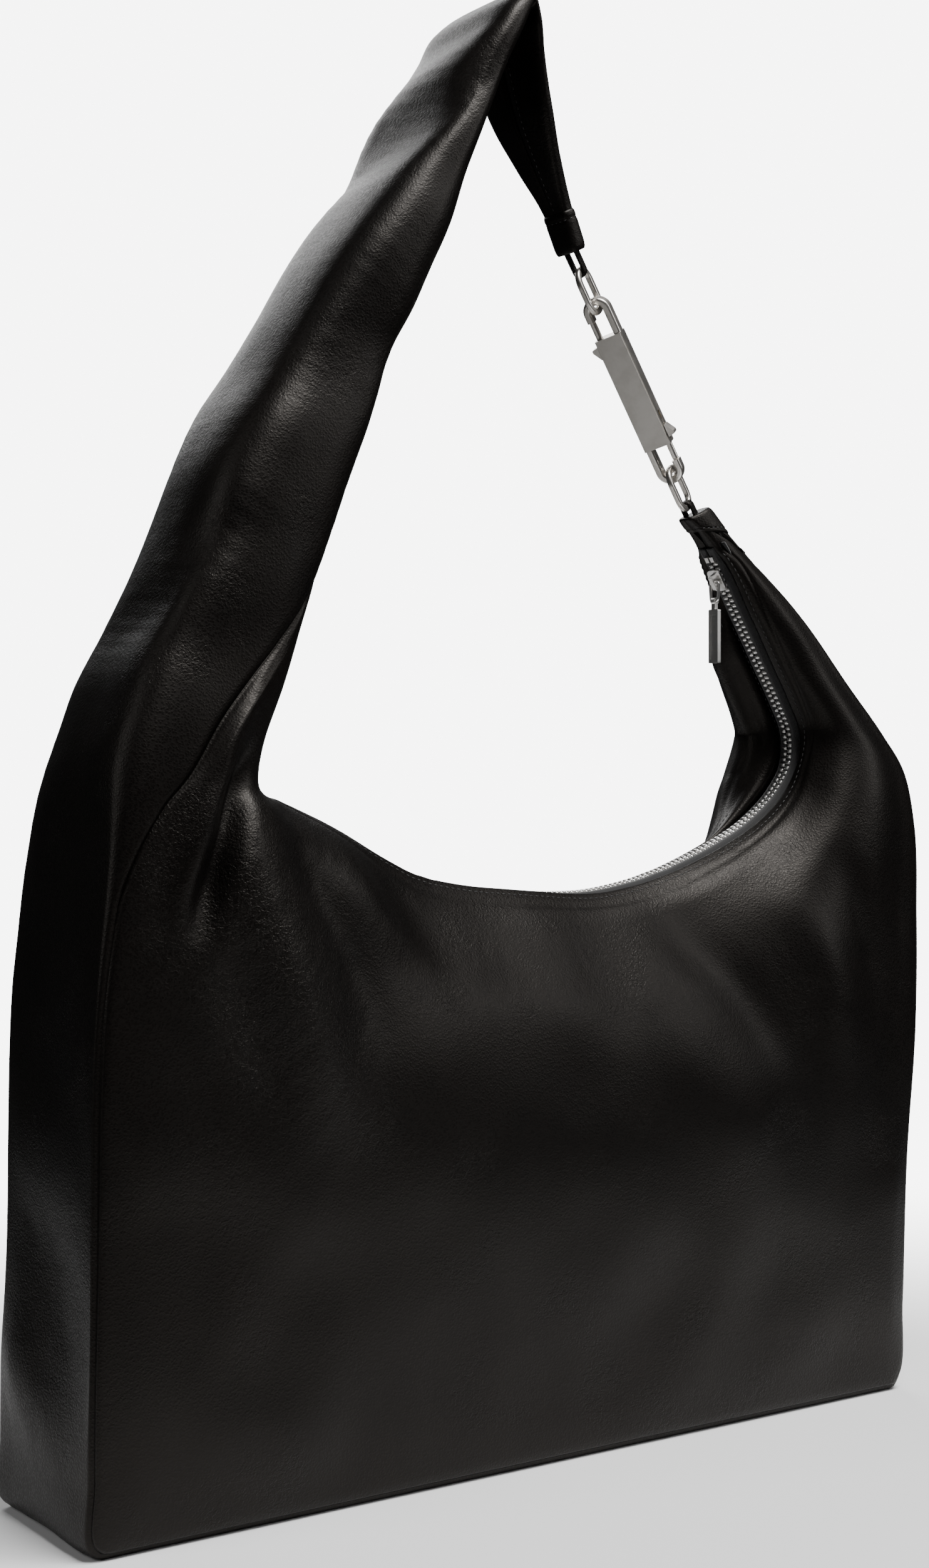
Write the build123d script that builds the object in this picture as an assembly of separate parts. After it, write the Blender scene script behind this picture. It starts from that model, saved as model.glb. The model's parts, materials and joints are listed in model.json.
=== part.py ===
"""Slouchy leather shoulder bag whose strap closes with a double-ended snap hook.

Millimetres, +Z up. The bag stands on its flat base with the middle of its outline at x = y = 0.
The X-Z plane is the bag's middle plane: the strap rises from the left shoulder, folds over at the
top and comes down to the hook, whose lower end is linked to the horn on the right.
"""
import os
from dataclasses import dataclass
from math import cos, hypot, radians, sin

from build123d import *

# Body
BASE_LENGTH = 443.0        # along the base, corner to corner
BASE_DEPTH = 87.0          # width of the gusset at the base
BELLY_DEPTH = 112.0        # over both panels, where they bulge most
BODY_HEIGHT = 372.0        # base to the root of the strap
TOP_EDGE_HEIGHT = 255.0    # base to the lowest point of the zip
LEFT_REACH = 1.01          # shares of half the base length to the outline's two sides
RIGHT_REACH = 1.115
CENTRE_SHIFT = (RIGHT_REACH - LEFT_REACH) * BASE_LENGTH / 4
SKIN = 1.8                 # leather thickness
LINING = 0.8
LINING_GAP = 0.4
SEAM_PLAY = 0.05

# Strap
STRAP_PEAK = (-2.0, 671.0)
STRAP_WIDTH = 70.0
COLLAR_WIDTH = 16.5
COLLAR_THICK = 14.0
COLLAR_LENGTH = 24.0
WEBBING_WIDTH = 11.0
WEBBING_THICK = 1.5

# Chain of links and hook
CHAIN_TOP = (50.2, 555.7)  # top of the upper link
CHAIN_LEAN = 32.0          # degrees from the vertical
CHAIN_TURN = 60.0          # degrees that the hook is turned about the chain
LINK_LENGTH = 24.5
LINK_WIDTH = 18.5
LINK_WIRE = 3.8
LINK_THICK = 2.8
LINK_HOLE_CORNER = 3.4
HOOK_LENGTH = 100.0
BLOCK_LENGTH = 60.0
HOOK_WIDTH = 14.0
HOOK_THICK = 6.0
PLATE_THICK = 1.4
JAW_WIRE = 3.8
JAW_PLAY = 1.0
PIN_RADIUS = 1.6
PIN_PLAY = 0.05
GATE_TRAVEL = 8.0
SPRING_WIRE = 0.5
TAB_THICK = 1.6
TAB_WIDTH = 6.0
TAB_PLAY = 0.3

# Zip
ZIP_HALF_GAP = 12.0        # middle line to the leather edge
TAPE_THICK = 0.8
TEETH_HALF_WIDTH = 3.0
TEETH_THICK = 2.4
TEETH_SLIT = 0.6           # half of the clear line between the two rows
ZIP_LEAD = 24.0            # from the tip of the horn to the start of the zip
ZIP_STRAIGHT = 86.0        # straight stretch down the horn
TAPE_CLEAR = 0.6           # tape's ends to the leather beyond them
STOP_LENGTH = 2.8
END_STOP_LENGTH = 4.6
SLIDER_LENGTH = 11.5
SLIDER_WIDTH = 9.0
SLIDER_PLATE = 1.3
SLIDER_PLAY = 0.3
SLIDER_AT = 13.0           # slider's middle, from the start of the zip
BAIL_WIRE = 1.6
BAIL_DROP = 9.5
BAIL_HALF_WIDTH = 3.4
TAB_LENGTH = 32.0
PULL_WIDTH = 6.9
PULL_THICK = 2.0

# Inside
BOARD_THICK = 2.0
BOARD_MARGIN = 12.0


def write(node, shape):
    """Write one sub-part to its own file."""
    export_step(shape, f"parts/{node}.step")


def point(x, y, z):
    """Point of the bag's frame from one of the outline's coordinates."""
    return Vector(x - CENTRE_SHIFT, y, z)


def along(start, direction, distance):
    """X-Z point at a distance from another."""
    return (start[0] + direction[0] * distance, start[1] + direction[1] * distance)


# Chain axis, and the places that follow from it
LEAN = radians(CHAIN_LEAN)
CHAIN_DOWN = (sin(LEAN), -cos(LEAN))
LINK_REACH = LINK_LENGTH - LINK_WIRE - JAW_PLAY - JAW_WIRE
CHAIN_LENGTH = 2 * LINK_REACH + HOOK_LENGTH
CHAIN_BOTTOM = along(CHAIN_TOP, CHAIN_DOWN, CHAIN_LENGTH)
COLLAR_GAP = 6.0           # from a link's end to the leather collar beside it
STRAP_END = along(CHAIN_TOP, CHAIN_DOWN, -COLLAR_GAP)
HORN_TIP = along(CHAIN_BOTTOM, CHAIN_DOWN, COLLAR_GAP * 0.3)
ZIP_DOWN = CHAIN_DOWN
ZIP_START = along(HORN_TIP, ZIP_DOWN, ZIP_LEAD)
ZIP_BEND = along(ZIP_START, ZIP_DOWN, ZIP_STRAIGHT)


@dataclass(frozen=True)
class Station:
    """One cross-section of the body, from the zip edge (inner) to the gusset (outer)."""

    outer: tuple
    inner: tuple
    outer_half: float
    belly_half: float
    inner_half: float = ZIP_HALF_GAP


def side(x_share, z_share):
    """Outline point as shares of half the base length and of the body's height."""
    return (x_share * BASE_LENGTH / 2, z_share * BODY_HEIGHT)


def top(x_share, rise):
    """Point of the top edge: share of half the base length, and height over its lowest point."""
    return (x_share * BASE_LENGTH / 2, TOP_EDGE_HEIGHT + rise)


HALF_BASE = BASE_DEPTH / 2
HALF_BELLY = BELLY_DEPTH / 2
ROOT_OUTER = side(-0.855, 1.0)
ROOT_INNER = side(-0.57, 1.0)
STATIONS = [
    Station(ROOT_OUTER, ROOT_INNER, 41.0, 43.0, 28.0),
    Station(side(-0.912, 0.895), side(-0.591, 0.88), HALF_BASE, 47.0, 22.0),
    Station(side(-0.957, 0.788), top(-0.47, 37.0), HALF_BASE, 51.0),
    Station(side(-1.0, 0.605), top(-0.36, 22.0), HALF_BASE, HALF_BELLY - 2),
    Station(side(-LEFT_REACH, 0.296), top(-0.27, 12.0), HALF_BASE, HALF_BELLY),
    Station(side(-1.0, 0.0), top(-0.20, 7.0), HALF_BASE, HALF_BELLY),
    Station(side(-0.45, 0.0), top(-0.09, 2.0), HALF_BASE, HALF_BELLY),
    Station(side(0.09, 0.0), top(0.09, 0.0), HALF_BASE, HALF_BELLY),
    Station(side(0.59, 0.0), top(0.27, 1.0), HALF_BASE, HALF_BELLY),
    Station(side(1.0, 0.0), top(0.43, 8.0), HALF_BASE, HALF_BELLY),
    Station(side(1.03, 0.242), top(0.58, 19.0), HALF_BASE, HALF_BELLY - 2),
    Station(side(1.07, 0.484), top(0.71, 33.0), HALF_BASE, 50.0),
    Station(side(1.10, 0.632), top(0.80, 47.0), 40.0, 45.0),
    Station(side(RIGHT_REACH, 0.79), top(0.845, 63.0), 32.0, 36.0),
    Station(side(1.08, 0.866), (ZIP_BEND[0] + 5.0, ZIP_BEND[1] - 17.0), 27.0, 30.0),
    Station(along(ZIP_BEND, (0.95, 0.3), 30.0), ZIP_BEND, 22.0, 25.0),
    Station(along(ZIP_BEND, (0.12, 0.98), 46.0), along(ZIP_BEND, ZIP_DOWN, -ZIP_STRAIGHT / 2), 18.0, 20.0),
    Station(along(ZIP_START, (0.97, 0.25), 20.0), ZIP_START, 13.5, 15.0),
]
ZIP_STATIONS = STATIONS[2:]


def normal_of(first, second):
    """Unit normal to a run, on its left."""
    run = hypot(second[0] - first[0], second[1] - first[1])
    return ((first[1] - second[1]) / run, (second[0] - first[0]) / run)


def offset_line(line, distance):
    """Open polyline moved sideways: away from the middle plane if the distance is negative."""
    moved = []
    for k, (s, y) in enumerate(line):
        before = normal_of(line[max(k - 1, 0)], line[max(k, 1)])
        after = normal_of(line[min(k, len(line) - 2)], line[min(k + 1, len(line) - 1)])
        nx, ny = before[0] + after[0], before[1] + after[1]
        scale = 2 * distance / (nx * nx + ny * ny)
        moved.append((s - nx * scale, y - ny * scale))
    return moved


def panel_line(station, inset):
    """Panel's line in one section: distances from the zip edge, and half depths."""
    length = hypot(station.outer[0] - station.inner[0], station.outer[1] - station.inner[1])
    inner, belly, outer = station.inner_half, station.belly_half, station.outer_half
    line = [
        (0.0, inner),
        (0.10 * length, inner + 0.50 * (belly - inner)),
        (0.28 * length, inner + 0.88 * (belly - inner)),
        (0.52 * length, belly),
        (0.80 * length, (belly + outer) / 2),
        (length, outer),
    ]
    moved = offset_line(line, inset)
    (s0, y0), (s1, y1) = moved[0], moved[1]
    moved[0] = (s0 + (s1 - s0) * (inner - y0) / (y1 - y0), inner)
    (s0, y0), (s1, y1) = moved[-2], moved[-1]
    end = length - inset
    moved[-1] = (end, y0 + (y1 - y0) * (end - s0) / (s1 - s0))
    return moved


def place(station, s, y):
    """Point of a section in the bag's frame."""
    length = hypot(station.outer[0] - station.inner[0], station.outer[1] - station.inner[1])
    share = s / length
    x = station.inner[0] + share * (station.outer[0] - station.inner[0])
    z = station.inner[1] + share * (station.outer[1] - station.inner[1])
    return point(x, y, z)


def loft_strip(sections):
    """Closed thin solid through a row of closed outlines, straight between them."""
    wires = [Wire.make_polygon(outline, close=True) for outline in sections]
    return Solid.make_loft(wires, ruled=True)


def panel(hand, inset, wall, stations, first=0, last=6):
    """Front (hand -1) or back (hand 1) layer of the body."""
    sections = []
    for station in stations:
        outside = panel_line(station, inset)[first:last]
        inside = panel_line(station, inset + wall)[first:last]
        ring = outside + inside[::-1]
        sections.append([place(station, s, hand * y) for s, y in ring])
    return loft_strip(sections)


def band(inset, wall, stations, proud=0.0):
    """Gusset layer: the strip between the two panels, along the outer edge of the sections."""
    sections = []
    for station in stations:
        outside = panel_line(station, inset + wall)[-1]
        length = hypot(station.outer[0] - station.inner[0], station.outer[1] - station.inner[1])
        near, far = outside[0], length - inset + proud
        half = outside[1]
        corners = [(near, -half), (far, -half), (far, half), (near, half)]
        sections.append([place(station, s, y) for s, y in corners])
    return loft_strip(sections)


def flat_base():
    """Base of the gusset, cut flat where it rests."""
    allowance = 1.0
    layer = band(0.0, SKIN, STATIONS[5:10], proud=allowance)
    return layer - Pos(0, 0, -allowance) * Box(2 * BASE_LENGTH, 2 * BASE_DEPTH, 2 * allowance)


def inner_band(stations):
    """Strip that closes the inner edge between the panels, above the zip's hidden end."""
    sections = []
    for station in stations:
        half = station.inner_half
        corners = [(0.0, -half), (SKIN, -half), (SKIN, half), (0.0, half)]
        sections.append([place(station, s, y) for s, y in corners])
    return loft_strip(sections)


def inward_normals(path):
    """Unit normals of a path, on the side of the bag, as the mean of the runs that meet."""
    normals = []
    for k in range(len(path)):
        before = normal_of(path[max(k - 1, 0)], path[max(k, 1)])
        after = normal_of(path[min(k, len(path) - 2)], path[min(k + 1, len(path) - 1)])
        nx, nz = before[0] + after[0], before[1] + after[1]
        scale = 2 / (nx * nx + nz * nz)
        normals.append((nx * scale, nz * scale))
    return normals


def zip_path(lead, tail):
    """Zip's line from its start to its hidden end, shortened at both."""
    path = [station.inner for station in ZIP_STATIONS][::-1]
    path[0] = along(path[0], ZIP_DOWN, lead)
    run = hypot(path[-1][0] - path[-2][0], path[-1][1] - path[-2][1])
    back = ((path[-2][0] - path[-1][0]) / run, (path[-2][1] - path[-1][1]) / run)
    path[-1] = along(path[-1], back, tail)
    return path


def zip_strip(hand, near, far, low, high, lead, tail):
    """One side's strip along the zip: from y near to far, and from low to high into the bag."""
    path = zip_path(lead, tail)
    sections = []
    for (x, z), (nx, nz) in zip(path, inward_normals(path)):
        corners = [(near, low), (far, low), (far, high), (near, high)]
        sections.append([point(x - nx * d, hand * y, z - nz * d) for y, d in corners])
    return loft_strip(sections)


# Strap: the outer and inner faces in the middle plane, with the width across them
def between(start, end, share, bow):
    """Point between two others, moved sideways by a bow."""
    nx, nz = normal_of(start, end)
    x = start[0] + share * (end[0] - start[0]) + bow * nx
    z = start[1] + share * (end[1] - start[1]) + bow * nz
    return (x, z)


INNER_PEAK = (STRAP_PEAK[0] + 1.0, STRAP_PEAK[1] - 15.0)
COLLAR_OUT = normal_of(STRAP_END, along(STRAP_END, CHAIN_DOWN, 1.0))
END_OUTER = along(STRAP_END, COLLAR_OUT, COLLAR_THICK / 2)
END_INNER = along(STRAP_END, COLLAR_OUT, -COLLAR_THICK / 2)
NECK_OUTER = along(END_OUTER, CHAIN_DOWN, -COLLAR_LENGTH)
NECK_INNER = along(END_INNER, CHAIN_DOWN, -COLLAR_LENGTH)
FULL = STRAP_WIDTH / 2
STRAP = [
    (ROOT_OUTER, ROOT_INNER, FULL + 5),
    (between(ROOT_OUTER, STRAP_PEAK, 0.22, -3.0), between(ROOT_INNER, INNER_PEAK, 0.20, 0.0), FULL + 3),
    (between(ROOT_OUTER, STRAP_PEAK, 0.45, -4.0), between(ROOT_INNER, INNER_PEAK, 0.43, 3.0), FULL),
    (between(ROOT_OUTER, STRAP_PEAK, 0.68, -1.0), between(ROOT_INNER, INNER_PEAK, 0.70, 5.0), FULL),
    (between(ROOT_OUTER, STRAP_PEAK, 0.88, 3.0), between(ROOT_INNER, INNER_PEAK, 0.90, 4.0), FULL),
    (STRAP_PEAK, INNER_PEAK, FULL),
    (between(STRAP_PEAK, NECK_OUTER, 0.30, 4.0), between(INNER_PEAK, NECK_INNER, 0.25, 1.5), FULL - 7),
    (between(STRAP_PEAK, NECK_OUTER, 0.65, 3.0), between(INNER_PEAK, NECK_INNER, 0.60, 0.0), FULL - 19),
    (NECK_OUTER, NECK_INNER, COLLAR_WIDTH / 2),
]


def tube_ring(outer, inner, half, inset):
    """Open line round a strap's section, from its inner face over the outer face and back."""
    length = hypot(outer[0] - inner[0], outer[1] - inner[1])
    far, mid = length - inset, length / 2
    wide, slim = half - inset, 0.86 * half - inset
    return [(0.0, -wide), (mid, -wide), (far, -slim), (far, slim), (mid, wide), (0.0, wide)]


def section_point(outer, inner, s, y):
    """Point of a strap's section in the bag's frame."""
    length = hypot(outer[0] - inner[0], outer[1] - inner[1])
    share = s / length
    x = inner[0] + share * (outer[0] - inner[0])
    z = inner[1] + share * (outer[1] - inner[1])
    return point(x, y, z)


def strap_outer(rows):
    """Leather that wraps over the strap's outer face and both its edges."""
    sections = []
    for outer, inner, half in rows:
        ring = tube_ring(outer, inner, half, 0.0) + tube_ring(outer, inner, half, SKIN)[::-1]
        sections.append([section_point(outer, inner, s, y) for s, y in ring])
    return loft_strip(sections)


def strap_inner(rows):
    """Leather of the strap's inner face, between the outer leather's two edges."""
    sections = []
    for outer, inner, half in rows:
        wide = half - SKIN - SEAM_PLAY
        corners = [(0.0, -wide), (SKIN, -wide), (SKIN, wide), (0.0, wide)]
        sections.append([section_point(outer, inner, s, y) for s, y in corners])
    return loft_strip(sections)


def webbing(rows):
    """Reinforcing tape under the outer leather of the strap's long side, ending below the fold."""
    sections = []
    for outer, inner, _ in rows:
        far = hypot(outer[0] - inner[0], outer[1] - inner[1]) - SKIN
        near = far - WEBBING_THICK
        half = WEBBING_WIDTH / 2
        corners = [(near, -half), (far, -half), (far, half), (near, half)]
        sections.append([section_point(outer, inner, s, y) for s, y in corners])
    return loft_strip(sections)


# Chain frame: x across the hook, y through its thickness, z up along the chain
TURN = radians(CHAIN_TURN)
CHAIN_ACROSS = Vector(cos(TURN) * cos(LEAN), -sin(TURN), cos(TURN) * sin(LEAN))
CHAIN_UP = Vector(-CHAIN_DOWN[0], 0, -CHAIN_DOWN[1])
HOOK_MIDDLE = along(CHAIN_TOP, CHAIN_DOWN, CHAIN_LENGTH / 2)


def chain_plane(distance):
    """Plane on the chain's axis at a height over the hook's middle."""
    x, z = along(HOOK_MIDDLE, CHAIN_DOWN, -distance)
    return Plane(origin=point(x, 0, z), x_dir=CHAIN_ACROSS, z_dir=CHAIN_UP)


def on_chain(shape, distance=0.0):
    """Shape moved from its own frame to the chain."""
    return chain_plane(distance).location * shape


HALF_BLOCK = BLOCK_LENGTH / 2
HALF_HOOK = HOOK_LENGTH / 2
PIN_X = HOOK_WIDTH / 2 - JAW_WIRE / 2
TIP_BOTTOM = HALF_BLOCK + 9.0
BORE_DEPTH = 24.0
SLOT_WIDTH = 1.8


def jaw():
    """Upper J of the hook: up the right side, over, and down to the tip that meets the pin."""
    rise = HALF_HOOK - HALF_BLOCK
    outline = RectangleRounded(HOOK_WIDTH, 2 * rise, HOOK_WIDTH / 2 - 0.01)
    throat_width = HOOK_WIDTH - 2 * JAW_WIRE
    throat = RectangleRounded(throat_width, 2 * (rise - JAW_WIRE), throat_width / 2 - 0.01)
    ring = extrude(Plane.XZ * (outline - throat), amount=HOOK_THICK / 2, both=True)
    ring = fillet(ring.edges().filter_by(Axis.Z), radius=1.3)
    ring = Pos(0, 0, HALF_BLOCK) * ring
    ring -= Pos(0, 0, HALF_BLOCK - HOOK_LENGTH / 2) * Box(2 * HOOK_WIDTH, 2 * HOOK_THICK, HOOK_LENGTH)
    cut_height = TIP_BOTTOM - HALF_BLOCK
    gate_gap = Box(JAW_WIRE + 0.4, 2 * HOOK_THICK, cut_height)
    return ring - Pos(-PIN_X, 0, HALF_BLOCK + cut_height / 2) * gate_gap


def half_turn(shape):
    """Shape turned half a turn about the hook's thickness, to its other end."""
    return Rot(0, 180, 0) * shape


def pin_bore():
    """Blind bore of the upper gate, and the slot that its thumb piece moves in."""
    bore = Cylinder(PIN_RADIUS + PIN_PLAY, BORE_DEPTH)
    slot_length = GATE_TRAVEL + 7.0
    slot = Box(JAW_WIRE, SLOT_WIDTH, slot_length)
    bore = Pos(-PIN_X, 0, HALF_BLOCK - BORE_DEPTH / 2) * bore
    slot = Pos(-PIN_X - JAW_WIRE / 2, 0, HALF_BLOCK - 2.0 - slot_length / 2) * slot
    return bore + slot


def hook_frame():
    """Flat frame of the hook with a jaw at each end and a bore for each gate."""
    core = Box(HOOK_WIDTH, HOOK_THICK, BLOCK_LENGTH)
    core = core - pin_bore() - half_turn(pin_bore())
    return core + jaw() + half_turn(jaw())


PIN_TAIL = 12.0
PIN_TOP = TIP_BOTTOM - 0.15


def gate_pin():
    """Round gate pin that closes the upper jaw."""
    length = PIN_TOP - (HALF_BLOCK - PIN_TAIL)
    pin = Cylinder(PIN_RADIUS, length)
    pin = chamfer(pin.edges().filter_by(GeomType.CIRCLE), length=0.25)
    return Pos(-PIN_X, 0, PIN_TOP - length / 2) * pin


TRIGGER_LENGTH = 7.5
TRIGGER_REACH = 3.4
STEM_LENGTH = 4.0
STEM_TOP = HALF_BLOCK - 4.0


def thumb_piece():
    """Wedge on a stem through the slot, with which a thumb draws the upper gate back."""
    edge = HOOK_WIDTH / 2 + 0.3
    wedge_line = [
        (-edge, STEM_TOP + 1.0),
        (-edge - TRIGGER_REACH, STEM_TOP + 0.2),
        (-edge - TRIGGER_REACH, STEM_TOP - 1.2),
        (-edge, STEM_TOP + 1.0 - TRIGGER_LENGTH),
    ]
    wedge = extrude(Plane.XZ * make_face(Polyline(*wedge_line, close=True)), amount=2.3, both=True)
    wedge = fillet(wedge.edges().filter_by(Axis.Y), radius=0.35)
    stem_start = -PIN_X - PIN_RADIUS
    reach = edge + 0.4 + stem_start
    stem = Box(reach, SLOT_WIDTH - 0.3, STEM_LENGTH)
    return wedge + Pos(-edge - 0.4 + reach / 2, 0, STEM_TOP - STEM_LENGTH / 2) * stem


def gate_spring():
    """Coil behind the gate pin that pushes it shut."""
    room = BORE_DEPTH - PIN_TAIL - 0.4
    path = Helix(pitch=room / 7.5, height=room - SPRING_WIRE, radius=PIN_RADIUS - SPRING_WIRE / 2 - 0.1)
    start = Plane(origin=path @ 0, z_dir=path % 0)
    coil = sweep(start * Circle(SPRING_WIRE / 2), path=path, is_frenet=True)
    return Pos(-PIN_X, 0, HALF_BLOCK - BORE_DEPTH + 0.2 + SPRING_WIRE / 2) * coil


def cover_plate(hand):
    """Satin plate on one face of the hook's block."""
    plate = Box(HOOK_WIDTH - 0.2, PLATE_THICK, BLOCK_LENGTH)
    plate = fillet(plate.edges().filter_by(Axis.Z), radius=0.4)
    return Pos(0, hand * (HOOK_THICK + PLATE_THICK) / 2, 0) * plate


def link():
    """Long chain link, standing on edge to the hook."""
    inner_width = LINK_WIDTH - 2 * LINK_WIRE
    inner_length = LINK_LENGTH - 2 * LINK_WIRE
    outline = RectangleRounded(LINK_WIDTH, LINK_LENGTH, LINK_WIDTH / 2 - 1.0)
    hole = RectangleRounded(inner_width, inner_length, LINK_HOLE_CORNER)
    ring = extrude(Plane.YZ * (outline - hole), amount=LINK_THICK / 2, both=True)
    return fillet(ring.edges().filter_by(Axis.X, reverse=True), radius=1.1)


LINK_AT = CHAIN_LENGTH / 2 - LINK_LENGTH / 2
LINK_EYE = CHAIN_LENGTH / 2 - LINK_WIRE / 2


def leather_loop(reach):
    """Strip of leather round a link's end, with both legs running up into the collar."""
    inner = LINK_THICK / 2 + TAB_PLAY
    outer = inner + TAB_THICK
    bend = Cylinder(outer, TAB_WIDTH, rotation=(90, 0, 0))
    bend -= Cylinder(inner, 2 * TAB_WIDTH, rotation=(90, 0, 0))
    below = LINK_WIRE / 2 + TAB_PLAY - inner
    bend = bend & Pos(0, 0, -outer / 2) * Box(3 * outer, 2 * TAB_WIDTH, outer)
    legs = Box(2 * outer, TAB_WIDTH, reach) - Box(2 * inner, 2 * TAB_WIDTH, 2 * reach)
    return Pos(0, 0, -below) * (bend + Pos(0, 0, reach / 2) * legs)


# Zip slider frame: x down the zip, y across it, z out of the bag
SLIDER_MIDDLE = along(ZIP_START, ZIP_DOWN, SLIDER_AT)
ZIP_OUT = (-cos(LEAN), -sin(LEAN))
SLIDER_PLANE = Plane(
    origin=point(SLIDER_MIDDLE[0], 0, SLIDER_MIDDLE[1]),
    x_dir=(ZIP_DOWN[0], 0, ZIP_DOWN[1]),
    z_dir=(ZIP_OUT[0], 0, ZIP_OUT[1]),
)
CHANNEL_HALF = TEETH_THICK / 2 + SLIDER_PLAY
BRIDGE_RISE = 3.2
BRIDGE_LENGTH = 7.5
BRIDGE_WIDTH = 2.4
BRIDGE_LEG = 1.4
BAIL_AT = CHANNEL_HALF + SLIDER_PLATE + 1.25


def slider():
    """Slider: two plates held apart by the post that parts the teeth, and the pull's bridge."""
    plate = extrude(RectangleRounded(SLIDER_LENGTH, SLIDER_WIDTH, 2.6), amount=SLIDER_PLATE)
    upper = Pos(0, 0, CHANNEL_HALF) * plate
    lower = Pos(0, 0, -CHANNEL_HALF - SLIDER_PLATE) * plate
    post = Pos(-SLIDER_LENGTH / 2 + 2.2, 0, 0) * Box(2.4, TEETH_SLIT, 2 * CHANNEL_HALF + 0.4)
    arch = Box(BRIDGE_LENGTH, BRIDGE_WIDTH, BRIDGE_RISE)
    tunnel = Pos(0, 0, -BRIDGE_LEG / 2) * Box(BRIDGE_LENGTH - 2 * BRIDGE_LEG, 2 * BRIDGE_WIDTH, BRIDGE_RISE)
    arch = fillet((arch - tunnel).edges().filter_by(Axis.Y), radius=0.45)
    top_face = CHANNEL_HALF + SLIDER_PLATE
    return upper + lower + post + Pos(0, 0, top_face + BRIDGE_RISE / 2 - 0.05) * arch


BAIL_PIVOT = (
    SLIDER_MIDDLE[0] + ZIP_OUT[0] * BAIL_AT,
    SLIDER_MIDDLE[1] + ZIP_OUT[1] * BAIL_AT,
)
PULL_PIVOT = (BAIL_PIVOT[0], BAIL_PIVOT[1] - BAIL_DROP)


def bail():
    """Wire ring that hangs from the slider's bridge and carries the pull."""
    half, drop = BAIL_HALF_WIDTH, BAIL_DROP
    corners = [(-half, 0), (half, 0), (half * 0.75, -drop), (-half * 0.75, -drop)]
    path = Plane.YZ * FilletPolyline(*corners, radius=1.5, close=True)
    start = Plane(origin=path @ 0, z_dir=path % 0)
    wire = sweep(start * Circle(BAIL_WIRE / 2), path=path)
    return Location(point(BAIL_PIVOT[0], 0, BAIL_PIVOT[1])) * wire


def pull_tab():
    """Flat pull with a sunk field on each face, hung from the ring by an eye."""
    eye_radius = BAIL_WIRE / 2 + 0.95
    plate = Box(PULL_THICK, PULL_WIDTH, TAB_LENGTH - 5.0)
    plate = fillet(plate.edges().filter_by(Axis.X), radius=0.6)
    field = Box(0.8, PULL_WIDTH - 2.4, TAB_LENGTH - 9.5)
    for hand in (-1, 1):
        plate -= Pos(hand * PULL_THICK / 2, 0, -0.6) * field
    neck = Box(PULL_THICK, 2.6, 4.6)
    eye = Cylinder(eye_radius, 2.6, rotation=(90, 0, 0))
    body = Pos(0, 0, -(TAB_LENGTH - 5.0) / 2 - 4.2) * plate + Pos(0, 0, -2.3) * neck + eye
    body -= Cylinder(BAIL_WIRE / 2 + 0.2, 10, rotation=(90, 0, 0))
    return Location(point(PULL_PIVOT[0], 0, PULL_PIVOT[1])) * body


def collar(end_outer, end_inner, neck_outer, neck_inner, neck_half, end_half):
    """Closed leather sleeve round a loop's legs."""
    sections_out, sections_in = [], []
    for outer, inner, half in ((neck_outer, neck_inner, neck_half), (end_outer, end_inner, end_half)):
        length = hypot(outer[0] - inner[0], outer[1] - inner[1])
        for inset, rows in ((0.0, sections_out), (SKIN * 0.75, sections_in)):
            corners = [(inset, -half + inset), (length - inset, -half + inset)]
            corners += [(length - inset, half - inset), (inset, half - inset)]
            rows.append([section_point(outer, inner, s, y) for s, y in corners])
    return loft_strip(sections_out) - loft_strip(sections_in)


def base_board():
    """Stiff board on the lining's floor."""
    low = SKIN + LINING_GAP + LINING
    length = BASE_LENGTH - 2 * BOARD_MARGIN
    width = BASE_DEPTH - 2 * (SKIN + LINING_GAP + LINING) - 4.0
    board = extrude(RectangleRounded(length, width, 10.0), amount=BOARD_THICK)
    return Location(point(0, 0, low)) * board


def zip_stop(hand):
    """Metal stop clamped at the start of one row of teeth."""
    x, z = along(ZIP_START, ZIP_DOWN, TAPE_CLEAR + STOP_LENGTH / 2)
    middle = (TEETH_SLIT + TEETH_HALF_WIDTH) / 2
    plane = Plane(
        origin=point(x, hand * middle, z),
        x_dir=(ZIP_DOWN[0], 0, ZIP_DOWN[1]),
        z_dir=(ZIP_OUT[0], 0, ZIP_OUT[1]),
    )
    return plane.location * Box(STOP_LENGTH, TEETH_HALF_WIDTH - TEETH_SLIT, TEETH_THICK + 0.4)


def end_stop():
    """Metal box that closes the hidden end of the zip."""
    before, end = zip_path(0.0, TAPE_CLEAR)[-2:]
    run = hypot(end[0] - before[0], end[1] - before[1])
    direction = ((end[0] - before[0]) / run, (end[1] - before[1]) / run)
    x, z = along(end, direction, -END_STOP_LENGTH / 2)
    plane = Plane(origin=point(x, 0, z), x_dir=(direction[0], 0, direction[1]), z_dir=(0, 1, 0))
    return plane.location * Box(END_STOP_LENGTH, TEETH_THICK + 0.6, 2 * TEETH_HALF_WIDTH)


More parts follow.
